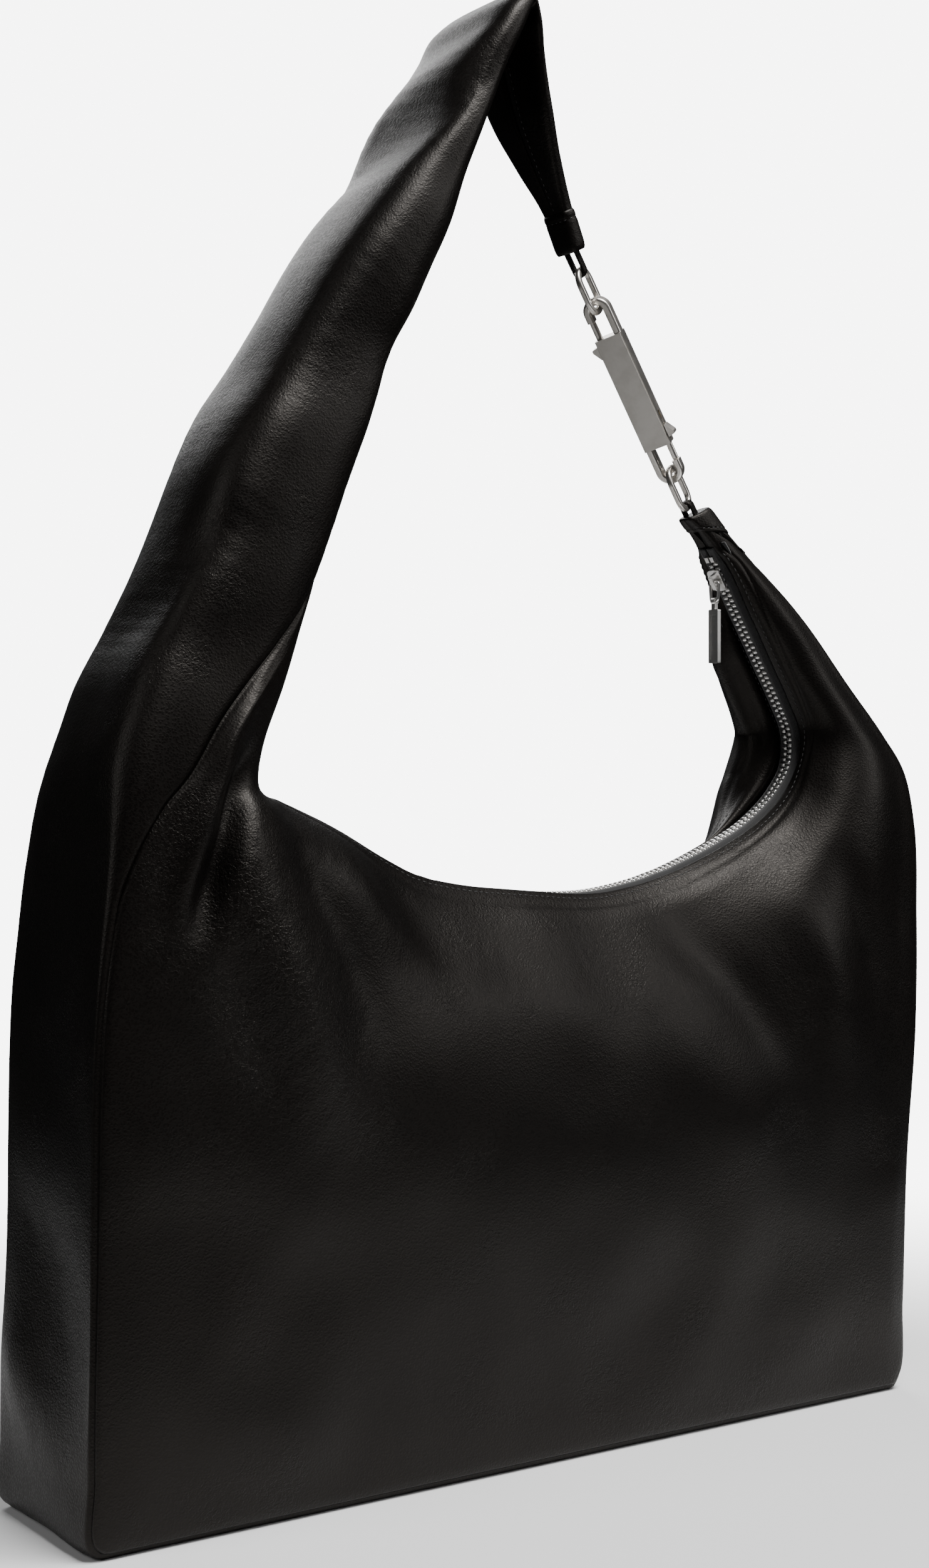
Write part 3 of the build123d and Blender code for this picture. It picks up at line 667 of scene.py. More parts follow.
@dataclass
class LeatherForm:
    """Smooth surface that all the leather follows, from the strap's end round the bag to the horn's tip."""

    shift: float
    turn: float = 4.0
    rounding: float = 34.0
    pinch: float = 0.4
    hidden_lift: float = 3.4
    keys: np.ndarray = field(init=False)
    dense: np.ndarray = field(init=False)
    table: np.ndarray = field(init=False)

    def __post_init__(self) -> None:
        """Lay the sections out by the length between them."""
        rows = np.array(SECTIONS, float)
        legs = rows[1:] - rows[:-1]
        step = np.hypot(legs[:, OUTER_X], legs[:, OUTER_Z]) + np.hypot(legs[:, INNER_X], legs[:, INNER_Z])
        self.keys = np.concatenate([[0.0], np.cumsum(step / 2)])
        self.dense = np.linspace(0.0, self.keys[-1], 6000)
        self.table = smooth_lines(self.keys, rows, self.dense)
        self.table[:, OUTER_Z] = np.maximum(self.table[:, OUTER_Z], 0.0)
        self.table[:, TUBE] = np.clip(self.table[:, TUBE], 0.0, 1.0)
        mouth = self.table[:, MOUTH]
        pinched = self.pinch + (mouth - self.pinch) * self.before(self.dense, PINCH_FAR, 8.0)
        self.table[:, MOUTH] = np.where(self.dense > self.at(PINCH_NEAR), pinched, mouth)

    def at(self, station: float) -> float:
        """Length along the form of a station, which may be between two."""
        return float(np.interp(station, np.arange(len(self.keys)), self.keys))

    def span(self, along: np.ndarray, near: float, far: float) -> np.ndarray:
        """Lengths along the form that lead from one station to another, by their shares of the way."""
        return self.at(near) + along * (self.at(far) - self.at(near))

    def past(self, length: np.ndarray, station: float, run: float) -> np.ndarray:
        """Share that rises from 0 at a station to 1 at a run in millimetres after it."""
        return np.clip((length - self.at(station)) / run, 0.0, 1.0)

    def before(self, length: np.ndarray, station: float, run: float) -> np.ndarray:
        """Share that falls from 1 at a run in millimetres before a station to 0 at it."""
        return np.clip((self.at(station) - length) / run, 0.0, 1.0)

    def row(self, length: np.ndarray, column: int) -> np.ndarray:
        """One column of the sections at each length."""
        return np.interp(length, self.dense, self.table[:, column])

    def seam(self, length: np.ndarray) -> np.ndarray:
        """Place across the section of the seam between panel and gusset."""
        return self.row(length, SEAM)

    def section(self, length: np.ndarray, across: np.ndarray) -> tuple[np.ndarray, np.ndarray]:
        """Place in the section's own plane.

        Args:
            length: lengths along the form.
            across: places across the half section, 0 at the mouth and 8 at the middle of the gusset.

        Returns:
            The distance from the mouth towards the outer edge, and the half depth.
        """
        ox, oz, ix, iz, edge, belly, mouth, tube = (self.row(length, i) for i in range(SEAM))
        size = np.hypot(ox - ix, oz - iz)
        turn = np.minimum(self.turn, 0.3 * size)
        zero = np.zeros_like(size)
        lift = self.hidden_lift * ease(self.before(length, LIFT_FAR, self.at(LIFT_FAR) - self.at(LIFT_NEAR)))
        bag_s = [2.0 - lift, 0.8 - lift]
        bag_s += [share * size for share in (0.06, 0.2, 0.45, 0.75)] + [size - turn, size, size]
        rise = belly - mouth
        bag_y = [mouth, mouth + 2, mouth + 2 + 0.33 * rise, mouth + 0.8 * rise, belly, (belly + edge) / 2,
                 edge, edge - turn, zero]
        tube_s = [share * size for share in (0.0, 0.0, 0.06, 0.24, 0.48, 0.72, 0.89, 0.975, 1.0)]
        shares = (0.0, 0.55, 0.87, 0.985, 1.0, 0.96, 0.82, 0.56, 0.0)
        tube_y = [edge * share for share in shares]
        s = np.stack(bag_s, 1) * (1 - tube[:, None]) + np.stack(tube_s, 1) * tube[:, None]
        y = np.stack(bag_y, 1) * (1 - tube[:, None]) + np.stack(tube_y, 1) * tube[:, None]
        points = np.stack([s, y], 2)
        chord = np.empty_like(points)
        chord[:, 1:-1] = points[:, 2:] - points[:, :-2]
        chord[:, 0] = points[:, 1] - points[:, 0]
        chord[:, -1] = (0.0, -1.0)
        chord /= np.maximum(np.linalg.norm(chord, axis=2, keepdims=True), 1e-6)
        index = np.clip(across.astype(int), 0, 7)
        f = (across - index)[:, None]
        pick = np.arange(len(length))
        start, end = points[pick, index], points[pick, index + 1]
        gap = np.linalg.norm(end - start, axis=1, keepdims=True)
        spot = blend(start, end, chord[pick, index] * gap, chord[pick, index + 1] * gap, f)
        return spot[:, 0], spot[:, 1]

    def place(self, length: np.ndarray, depth: np.ndarray, half: np.ndarray, side: np.ndarray) -> np.ndarray:
        """Turn a place in a section into one in the bag's frame.

        Args:
            length: lengths along the form.
            depth: distances from the mouth towards the outer edge.
            half: half depths, to front or back.
            side: -1 for the front and 1 for the back.

        Returns:
            Points in metres.
        """
        ox, oz, ix, iz = (self.row(length, i) for i in (OUTER_X, OUTER_Z, INNER_X, INNER_Z))
        size = np.maximum(np.hypot(ox - ix, oz - iz), 1e-6)
        x = ix + (ox - ix) * depth / size
        z = iz + (oz - iz) * depth / size
        return np.stack([(x + self.shift) * MM, side * half * MM, z * MM], 1)

    def surface(self, length: np.ndarray, across: np.ndarray, side: np.ndarray) -> np.ndarray:
        """Points of the leather's outer face in metres."""
        depth, half = self.section(length, across)
        return self.place(length, depth, half, side)

    def eased(self, length: np.ndarray, across: np.ndarray, side: np.ndarray) -> np.ndarray:
        """Points of the outer face in metres, with the turns between the bag's sections rounded off.

        Args:
            length: lengths along the form.
            across: places across the half section.
            side: -1 for the front and 1 for the back.

        Returns:
            Points in metres, unchanged at the mouth, at the seam and in the strap.
        """
        weight = ease(np.clip(across / 2.0, 0.0, 1.0)) * ease(np.clip((6.2 - across) / 2.5, 0.0, 1.0))
        weight *= ease(self.past(length, EASE_NEAR, 60.0)) * ease(self.before(length, EASE_FAR, 60.0))
        total, count = np.zeros((len(length), 3)), 0.0
        for shift in np.linspace(-2.0, 2.0, 13):
            part = math.exp(-0.5 * shift * shift)
            total += part * self.surface(length + shift * self.rounding, across, side)
            count += part
        plain = self.surface(length, across, side)
        return plain + (total / count - plain) * weight[:, None]

    def middle(self, length: np.ndarray) -> np.ndarray:
        """Middle point of each section in metres."""
        ox, oz, ix, iz = (self.row(length, i) for i in (OUTER_X, OUTER_Z, INNER_X, INNER_Z))
        zero = np.zeros_like(ox)
        return np.stack([((ox + ix) / 2 + self.shift) * MM, zero, (oz + iz) / 2 * MM], 1)

    def mouth_line(self, near: float, far: float, count: int) -> tuple[np.ndarray, np.ndarray, np.ndarray]:
        """Evenly spaced points of the line between the two mouth edges.

        Args:
            near: the station to start from.
            far: the station to end at.
            count: the number of points.

        Returns:
            Points, unit tangents and unit normals into the bag, in metres.
        """
        raw = np.linspace(self.at(near), self.at(far), 2400)
        flat = np.zeros_like(raw)
        line = np.stack([self.row(raw, INNER_X) + self.shift, flat, self.row(raw, INNER_Z)], 1) * MM
        outer = np.stack([self.row(raw, OUTER_X) + self.shift, flat, self.row(raw, OUTER_Z)], 1) * MM
        run = run_along(line)
        even = np.linspace(0.0, run[-1], count)
        points = read_line(even, run, line)
        inward = read_line(even, run, outer - line)
        tangent = np.gradient(points, axis=0)
        tangent /= np.linalg.norm(tangent, axis=1, keepdims=True)
        normal = inward - tangent * np.sum(inward * tangent, axis=1, keepdims=True)
        normal /= np.linalg.norm(normal, axis=1, keepdims=True)
        return points, tangent, normal


@dataclass(frozen=True)
class Crease:
    """A fold or ridge along a line, in millimetres."""

    line: tuple[tuple[float, float], ...]
    height: float
    width: float
    crumple: float = 0.0

    def reach(self, spots: np.ndarray, spread: float = 1.0) -> np.ndarray:
        """Share of the crease at each spot, 1 on its line and fading to its ends.

        Args:
            spots: places in the same two coordinates as the line, in millimetres.
            spread: how many times wider than the crease itself.

        Returns:
            Shares from 0 to 1.
        """
        keys = np.array(self.line, float)
        steps = np.arange(len(keys), dtype=float)
        line = smooth_lines(steps, keys, np.linspace(0.0, steps[-1], 8 * (len(keys) - 1) + 1))
        run = run_along(line)
        legs = np.linalg.norm(np.diff(line, axis=0), axis=1)
        total, weight = np.zeros(len(spots)), np.full(len(spots), 1e-9)
        width = self.width * spread
        for start, end, leg, before in zip(line[:-1], line[1:], legs, run[:-1]):
            way = (end - start) / leg
            f = np.clip((spots - start) @ way, 0.0, leg)
            away = np.linalg.norm(spots - (start + f[:, None] * way), axis=1)
            ends = np.clip(np.minimum(before + f, run[-1] - before - f) / (0.4 * run[-1]), 0.0, 1.0)
            share = bell(away, 0.0, width)
            total += share ** 7 * ease(ends)
            weight += share ** 6
        return total / weight


def rolling(points: np.ndarray, size: float, seed: float) -> np.ndarray:
    """Smooth noise at points.

    Args:
        points: places in metres.
        size: the size of its hills in millimetres.
        seed: a shift that gives another pattern.

    Returns:
        Values from about -1 to 1.
    """
    scale = 1000.0 / size
    return np.array([noise.noise(Vector(p) * scale + Vector((seed, 3.1 * seed, -seed))) for p in points])


def ridged(points: np.ndarray, size: float, seed: float) -> np.ndarray:
    """Sharp-crested noise at points, from 0 to 1."""
    return 1.0 - np.abs(rolling(points, size, seed)) * 2.2


# ---------------------------------------------------------------- meshes


def close_mesh(name: str, bm: bmesh.types.BMesh) -> bpy.types.Mesh:
    """Mesh from a working mesh, which is freed."""
    mesh = bpy.data.meshes.new(name)
    bm.to_mesh(mesh)
    bm.free()
    return mesh


def add_object(name: str, data: object) -> bpy.types.Object:
    """Object in the scene that holds a mesh, a light or a camera."""
    piece = bpy.data.objects.new(name, data)
    bpy.context.scene.collection.objects.link(piece)
    return piece


def grid_object(name: str, columns: int, rows: int) -> bpy.types.Object:
    """Flat grid that is then laid on a surface.

    Args:
        name: the object's name.
        columns: cells along.
        rows: cells across.

    Returns:
        The object.
    """
    bm = bmesh.new()
    bmesh.ops.create_grid(bm, x_segments=columns, y_segments=rows, size=0.5)
    return add_object(name, close_mesh(name, bm))


def grid_places(piece: bpy.types.Object) -> tuple[np.ndarray, np.ndarray]:
    """Shares along and across of a flat grid's vertices, each from 0 to 1."""
    flat = np.empty(len(piece.data.vertices) * 3)
    piece.data.vertices.foreach_get("co", flat)
    flat = flat.reshape(-1, 3)
    return flat[:, 0] + 0.5, flat[:, 1] + 0.5


def set_points(piece: bpy.types.Object, points: np.ndarray) -> None:
    """Move a mesh's vertices to new points."""
    piece.data.vertices.foreach_set("co", points.reshape(-1))
    piece.data.update()


def vertex_normals(piece: bpy.types.Object) -> np.ndarray:
    """Normals of a mesh's vertices."""
    flat = np.empty(len(piece.data.vertices) * 3)
    piece.data.vertex_normals.foreach_get("vector", flat)
    return flat.reshape(-1, 3)


def face_out(piece: bpy.types.Object, outward: np.ndarray) -> None:
    """Flip a sheet whose faces look the wrong way.

    Args:
        piece: the sheet.
        outward: for each vertex, a direction that leads out.
    """
    if np.sum(vertex_normals(piece) * outward) < 0:
        piece.data.flip_normals()
        piece.data.update()


def lay(piece: bpy.types.Object, points: np.ndarray, outward: np.ndarray) -> np.ndarray:
    """Lay a grid on a surface and face it outward.

    Args:
        piece: the grid.
        points: where its vertices go, in metres.
        outward: for each vertex, a direction that leads out.

    Returns:
        The normals of its vertices.
    """
    set_points(piece, points)
    face_out(piece, outward)
    return vertex_normals(piece)


def millimetres_apart(points: np.ndarray, others: np.ndarray) -> np.ndarray:
    """Distance of each point from its partner, in millimetres."""
    return np.linalg.norm(points - others, axis=1) / MM


def store_uv(piece: bpy.types.Object, along: np.ndarray, across: np.ndarray) -> None:
    """Write a UV map of lengths in metres.

    Args:
        piece: the mesh's object.
        along: each vertex's length.
        across: each vertex's place across.
    """
    layer = piece.data.uv_layers.new(name="cloth")
    index = np.empty(len(piece.data.loops), int)
    piece.data.loops.foreach_get("vertex_index", index)
    layer.data.foreach_set("uv", np.stack([along[index], across[index]], 1).reshape(-1))


def store_crumple(piece: bpy.types.Object, values: np.ndarray) -> None:
    """Write how creased the leather is at each vertex."""
    layer = piece.data.attributes.new("crumple", "FLOAT", "POINT")
    layer.data.foreach_set("value", np.clip(values, 0.0, 1.0))


def thicken(piece: bpy.types.Object, thickness: float) -> None:
    """Give a sheet a wall behind its face.

    Args:
        piece: the sheet.
        thickness: the wall in millimetres.
    """
    wall = piece.modifiers.new("wall", "SOLIDIFY")
    wall.thickness = thickness * MM
    wall.offset = -1.0
    wall.use_rim = True


def dress(
    piece: bpy.types.Object, material: bpy.types.Material, slot: Slot, body: str, *nodes: str,
) -> bpy.types.Object:
    """Give a finished piece its material and its place in the frame.

    Args:
        piece: the object.
        material: its finish.
        slot: the record's slot; not used.
        body: the body that it rides on.
        nodes: the nodes that it stands for.

    Returns:
        The same object.
    """
    piece.data.materials.clear()
    piece.data.materials.append(material)
    for face in piece.data.polygons:
        face.use_smooth = True
    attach(piece, body)
    if nodes:
        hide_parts(*nodes)
    LOG.info("%s: %d faces on %s", piece.name, len(piece.data.polygons), body)
    return piece


def repeat(name: str, pattern: bpy.types.Mesh, places: list[Matrix]) -> bpy.types.Object:
    """One mesh made of a small shape at many places.

    Args:
        name: the object's name.
        pattern: the small shape.
        places: where each copy goes.

    Returns:
        The object.
    """
    bm = bmesh.new()
    for matrix in places:
        before = len(bm.verts)
        bm.from_mesh(pattern)
        bm.verts.ensure_lookup_table()
        bmesh.ops.transform(bm, matrix=matrix, verts=bm.verts[before:])
    return add_object(name, close_mesh(name, bm))


def axes_matrix(x: np.ndarray, y: np.ndarray, z: np.ndarray, origin: np.ndarray) -> Matrix:
    """Matrix whose columns are three directions and a place."""
    rows = [[x[i], y[i], z[i], origin[i]] for i in range(3)]
    return Matrix(rows + [[0.0, 0.0, 0.0, 1.0]])


def stitch_mesh(length: float, width: float, height: float) -> bpy.types.Mesh:
    """One plump stitch along X.

    Args:
        length: its length in millimetres.
        width: its width.
        height: its height.

    Returns:
        The mesh.
    """
    bm = bmesh.new()
    bmesh.ops.create_uvsphere(bm, u_segments=6, v_segments=4, radius=0.5)
    bmesh.ops.scale(bm, vec=(length * MM, width * MM, height * MM), verts=bm.verts)
    return close_mesh("stitch", bm)


def sew(
    name: str, on: bpy.types.Object, line: np.ndarray, pitch: float, pattern: bpy.types.Mesh,
) -> bpy.types.Object:
    """Row of stitches laid on a surface along a line.

    Args:
        name: the object's name.
        on: the surface.
        line: points near the surface in metres.
        pitch: the distance between stitches in millimetres.
        pattern: one stitch.

    Returns:
        The object.
    """
    bm = bmesh.new()
    bm.from_mesh(on.data)
    tree = BVHTree.FromBMesh(bm)
    bm.free()
    run = run_along(line)
    count = max(2, int(run[-1] / (pitch * MM)))
    even = np.linspace(0.5 * pitch * MM, run[-1] - 0.5 * pitch * MM, count)
    spots = read_line(even, run, line)
    ahead = read_line(even + 0.3 * pitch * MM, run, line)
    places = []
    for spot, next_spot in zip(spots, ahead):
        hit, normal, _, _ = tree.find_nearest(Vector(spot))
        if hit is None:
            continue
        way = Vector(next_spot - spot)
        way = (way - normal * way.dot(normal)).normalized()
        side = normal.cross(way)
        places.append(axes_matrix(way, side, normal, hit + normal * 0.05 * MM))
    return repeat(name, pattern, places)


# ---------------------------------------------------------------- sub-assemblies


def panel_relief(
    form: LeatherForm, folds: tuple[Crease, ...], points: np.ndarray, length: np.ndarray,
    to_seam: np.ndarray, to_mouth: np.ndarray, side: float,
) -> tuple[np.ndarray, np.ndarray]:
    """Slack and folds of a panel, which its lining follows.

    Args:
        form: the leather's form.
        folds: the panel's creases.
        points: places on the form, in metres.
        length: their lengths along the form.
        to_seam: distances to the gusset seam in millimetres.
        to_mouth: distances to the mouth's edge in millimetres.
        side: -1 for the front and 1 for the back.

    Returns:
        The rise out of the form in millimetres, and how creased it is.
    """
    quiet = np.clip(to_seam / 26.0, 0, 1) * np.clip(to_mouth / 22.0, 0, 1)
    share = form.past(length, SLACK_NEAR, 60.0)
    rise = quiet * share * (2.6 * rolling(points, 95.0, 2.0 + side) + 1.5 * rolling(points, 42.0, 5.0))
    flat = np.stack([points[:, 0] / MM - form.shift, points[:, 2] / MM], 1)
    fade = np.clip(to_mouth / 8.0, 0, 1) * np.clip(to_seam / 6.0, 0.15, 1)
    crumple = np.zeros_like(length)
    for fold in folds:
        rise += fold.height * fold.reach(flat) * fade
        crumple = np.maximum(crumple, fold.crumple * fold.reach(flat, 2.2))
    return rise, crumple


@dataclass
class Body:
    """Two panels and the long band of gusset and strap between them."""

    form: LeatherForm
    leather: bpy.types.Material
    thread: bpy.types.Material
    wall: float = 1.8
    seam_drop: float = 1.3
    seam_width: float = 1.7
    columns: int = 430
    rows: int = 84

    FRONT_FOLDS = (
        Crease(((-150.0, 330.0), (-159.8, 311.5), (-166.6, 297.1), (-176.7, 270.0), (-182.0, 249.5),
                (-183.0, 232.0)), -11.0, 6.5, 0.2),
        Crease(((-129.8, 374.5), (-163.6, 331.3), (-172.4, 305.1), (-181.3, 279.2), (-185.6, 259.8),
                (-184.2, 243.0), (-176.8, 229.7)), 6.0, 7.5, 0.04),
        Crease(((-166.0, 318.0), (-157.0, 275.0), (-144.0, 232.0), (-126.0, 182.0),
                (-108.0, 140.0)), 8.0, 16.0, 0.8),
        Crease(((-172.0, 262.0), (-164.0, 228.0), (-150.0, 196.0), (-136.0, 160.0)), -4.0, 10.0, 0.8),
        Crease(((-140.0, 310.0), (-122.0, 266.0), (-104.0, 226.0), (-90.0, 190.0)), -4.5, 11.0, 0.35),
        Crease(((-112.0, 292.0), (-94.0, 262.0), (-74.0, 238.0), (-48.0, 222.0)), 4.0, 10.0, 0.2),
        Crease(((-60.0, 240.0), (10.0, 222.0), (80.0, 226.0)), -3.0, 18.0, 0.1),
        Crease(((30.0, 205.0), (95.0, 170.0), (140.0, 110.0)), 3.0, 24.0, 0.0),
        Crease(((60.0, 250.0), (110.0, 215.0), (150.0, 150.0)), -3.5, 16.0, 0.1),
        Crease(((150.0, 265.0), (168.0, 220.0), (182.0, 160.0)), 3.5, 14.0, 0.1),
        Crease(((176.0, 285.0), (196.0, 240.0), (205.0, 180.0)), -3.0, 11.0, 0.2),
        Crease(((-210.0, 60.0), (-160.0, 40.0), (-100.0, 34.0)), 2.0, 20.0, 0.0),
        Crease(((-195.0, 150.0), (-150.0, 110.0), (-90.0, 95.0)), -2.5, 20.0, 0.1),
    )
    BACK_FOLDS = (
        Crease(((-150.0, 305.0), (-162.0, 260.0), (-170.0, 210.0)), -8.0, 9.0, 0.4),
        Crease(((-120.0, 300.0), (-110.0, 240.0), (-125.0, 190.0)), 3.0, 14.0, 0.4),
        Crease(((-40.0, 235.0), (30.0, 215.0), (100.0, 225.0)), -3.0, 20.0, 0.1),
        Crease(((40.0, 190.0), (100.0, 140.0), (140.0, 80.0)), 3.0, 26.0, 0.0),
        Crease(((160.0, 270.0), (178.0, 210.0), (186.0, 150.0)), -3.0, 14.0, 0.1),
    )

    def panel(self, piece: Piece, folds: tuple[Crease, ...], node: str) -> bpy.types.Object:
        """One panel, from the strap's root round to the horn.

        Args:
            piece: front or back.
            folds: its creases, in the panel's plane.
            node: the node that it stands for.

        Returns:
            The panel.
        """
        form = self.form
        side_value = FRONT if piece is Piece.FRONT else BACK
        sheet = grid_object(f"{piece.value}_leather", self.columns, self.rows)
        along, across = grid_places(sheet)
        length = form.span(along, STRAP_LOW + 0.25, HORN_END - 0.55)
        inner = np.interp(length, [form.at(MOUTH_SHUT), form.at(MOUTH_OPEN)], [0.8, 0.0])
        tip = np.interp(length, [form.at(TIP_OPEN), form.at(TIP_SHUT)], [0.0, 0.9])
        inner = np.maximum(inner, tip)
        seam = form.seam(length)
        eased = 0.5 - 0.5 * np.cos(math.pi * across)
        spread = 0.55 * across + 0.45 * eased
        q = inner + (np.maximum(seam, inner + 0.02) - inner) * spread
        side = np.full_like(length, side_value)
        points = form.eased(length, q, side)
        normals = lay(sheet, points, points - form.middle(length))
        to_seam = millimetres_apart(points, form.surface(length, seam, side))
        to_mouth = millimetres_apart(points, form.surface(length, inner, side))
        drop = -self.seam_drop * bell(to_seam, 0.0, self.seam_width)
        facing = -0.55 * bell(to_mouth, 9.5, 1.1) * (q > inner + 0.02)
        rise, crumple = panel_relief(form, folds, points, length, to_seam, to_mouth, side_value)
        wrinkled = crumple * np.clip(to_seam / 10.0, 0.2, 1) * np.clip(to_mouth / 10.0, 0, 1)
        rise += wrinkled * (0.75 * ridged(points * np.array([1.4, 1.0, 0.8]), 9.0, 9.0) - 0.4)
        if side_value == BACK:
            window = form.past(length, BULGE_NEAR, 90.0) * form.before(length, BULGE_FAR, 45.0)
            rise += 14.0 * ease(window) * bell(q, 2.1, 1.3)
        points = points + normals * ((rise + drop + facing) * MM)[:, None]
        points[:, 2] = np.maximum(points[:, 2], 0.0003)
        set_points(sheet, points)
        store_crumple(sheet, crumple)
        thicken(sheet, self.wall)
        return dress(sheet, self.leather, Slot.LEATHER, "bag", node)

    BAND_FOLDS = (
        Crease(((7.4, -0.95), (8.8, -0.35), (10.2, 0.3), (11.6, 0.95)), 3.5, 9.0, 0.15),
        Crease(((7.9, -0.95), (9.3, -0.55), (10.7, 0.0), (12.2, 0.7)), -3.0, 9.0, 0.2),
        Crease(((10.6, -0.9), (11.6, -0.5), (12.8, -0.1)), 2.5, 11.0, 0.15),
        Crease(((12.2, -0.95), (13.0, -0.5), (14.0, -0.1)), -3.5, 11.0, 0.25),
        Crease(((13.0, 0.6), (14.0, 0.1), (15.2, -0.2)), 2.5, 12.0, 0.15),
        Crease(((14.4, -0.5), (15.6, -0.1), (17.2, 0.2)), -3.0, 8.0, 0.2),
        Crease(((17.0, -0.4), (18.6, 0.2), (20.0, 0.3)), 3.0, 12.0, 0.2),
        Crease(((20.6, 0.5), (21.2, -0.1), (21.9, -0.6)), -3.5, 14.0, 0.3),
        Crease(((21.2, 0.7), (21.8, 0.1), (22.4, -0.4)), 2.5, 12.0, 0.2),
        Crease(((34.0, -0.6), (35.0, 0.0), (36.0, 0.5)), -3.0, 10.0, 0.3),
        Crease(((35.6, -0.5), (36.8, 0.1), (38.0, 0.4)), 2.0, 8.0, 0.2),
    )

    def band(self) -> bpy.types.Object:
        """Gusset and strap in one long band.

        Returns:
            The band.
        """
        form = self.form
        sheet = grid_object("gusset_and_strap", 640, 64)
        along, across = grid_places(sheet)
        length = form.span(along, 0.12, HORN_END - 0.1)
        v = 2.0 * across - 1.0
        side = np.where(v < 0, FRONT, BACK)
        reach = np.abs(v) ** 0.9
        seam = form.seam(length)
        q = GUSSET_MIDDLE - reach * (GUSSET_MIDDLE - seam)
        points = form.surface(length, q, side)
        normals = lay(sheet, points, points - form.middle(length))
        to_seam = millimetres_apart(points, form.surface(length, seam, side))
        in_strap = form.before(length, STRAP_LOW + 0.4, 40.0)
        drop = -self.seam_drop * bell(to_seam, 0.0, self.seam_width) * (1 - in_strap)
        base = form.past(length, BASE_NEAR, 12.0) * form.before(length, BASE_FAR, 12.0)
        quiet = np.clip(to_seam / 16.0, 0, 1) * (1 - base)
        waves = 1.5 * rolling(points, 70.0, 11.0) + 0.8 * rolling(points, 32.0, 7.0)
        rise = quiet * waves * (1 - 0.55 * in_strap)
        half = form.row(length, EDGE)
        flat = np.stack([length, v * half], 1)
        crumple = np.zeros_like(length)
        for fold in self.BAND_FOLDS:
            places = [(form.at(station), share) for station, share in fold.line]
            line = tuple((place, share * float(form.row(place, EDGE))) for place, share in places)
            laid = Crease(line, fold.height, fold.width)
            rise += fold.height * laid.reach(flat) * np.clip(to_seam / 6.0, 0.15, 1)
            crumple = np.maximum(crumple, fold.crumple * laid.reach(flat, 2.0))
        rise += crumple * np.clip(to_seam / 10.0, 0, 1) * (0.8 * ridged(points, 15.0, 4.0) - 0.4)
        points = points + normals * ((rise + drop) * MM)[:, None]
        points[:, 2] = np.maximum(points[:, 2], 0.0)
        set_points(sheet, points)
        store_crumple(sheet, crumple)
        thicken(sheet, self.wall)
        nodes = ("gusset_left", "gusset_base", "gusset_right", "strap_outer")
        return dress(sheet, self.leather, Slot.LEATHER, "bag", *nodes)

    def underside(self) -> bpy.types.Object:
        """Inner strip of the strap, down to the bridge at its root.

        Returns:
            The strip.
        """
        form = self.form
        sheet = grid_object("strap_underside", 260, 26)
        along, across = grid_places(sheet)
        length = form.span(along, 0.15, ROOT_END)
        v = 2.0 * across - 1.0
        depth, half = form.section(length, np.full_like(length, 0.95))
        shown = form.past(length, STRAP_LOW - 0.9, 45.0)
        lift = (0.9 * (1 - np.abs(v) ** 6) + 0.1) * shown - 2.6 * (1 - shown)
        tuck = form.past(length, MOUTH_SHUT, 60.0)
        points = form.place(length, depth - lift + 1.6 * tuck, half * np.abs(v), np.sign(v) + (v == 0))
        normals = lay(sheet, points, points - form.middle(length))
        rise = 0.5 * rolling(points, 30.0, 3.0) * (1 - v * v)
        set_points(sheet, points + normals * (rise * MM)[:, None])
        store_crumple(sheet, np.full_like(length, 0.15))
        thicken(sheet, 1.4)
        return dress(sheet, self.leather, Slot.LEATHER, "bag", "strap_inner", "root_bridge")

    def webbing(self, cloth: bpy.types.Material) -> bpy.types.Object:
        """Reinforcing tape inside the strap."""
        form = self.form
        sheet = grid_object("strap_tape", 160, 6)
        along, across = grid_places(sheet)
        length = form.span(along, TAPE_NEAR, TAPE_FAR)
        ox, oz, ix, iz = (form.row(length, i) for i in (OUTER_X, OUTER_Z, INNER_X, INNER_Z))
        size = np.hypot(ox - ix, oz - iz)
        v = 2.0 * across - 1.0
        half = 4.5
        points = form.place(length, size - 3.2, np.abs(v) * half, np.sign(v) + (v == 0))
        lay(sheet, points, form.place(length, size, np.abs(v), np.sign(v)) - form.middle(length))
        store_uv(sheet, length * MM, v * half * MM)
        thicken(sheet, 0.9)
        return dress(sheet, cloth, Slot.LINING, "bag", "strap_webbing")

    def seam_stitches(self, band: bpy.types.Object) -> bpy.types.Object:
        """Row of stitches beside the strap's lengthwise seam, down to the collar.

        Args:
            band: the band that is sewn.

        Returns:
            The stitches.
        """
        length = np.linspace(self.form.at(1.0), self.form.at(6.4), 300)
        line = self.form.surface(length, np.full_like(length, 0.34), np.full_like(length, FRONT))
        row = sew("strap_seam_stitches", band, line, 3.0, stitch_mesh(2.0, 0.5, 0.4))
        return dress(row, self.thread, Slot.LEATHER, "bag")

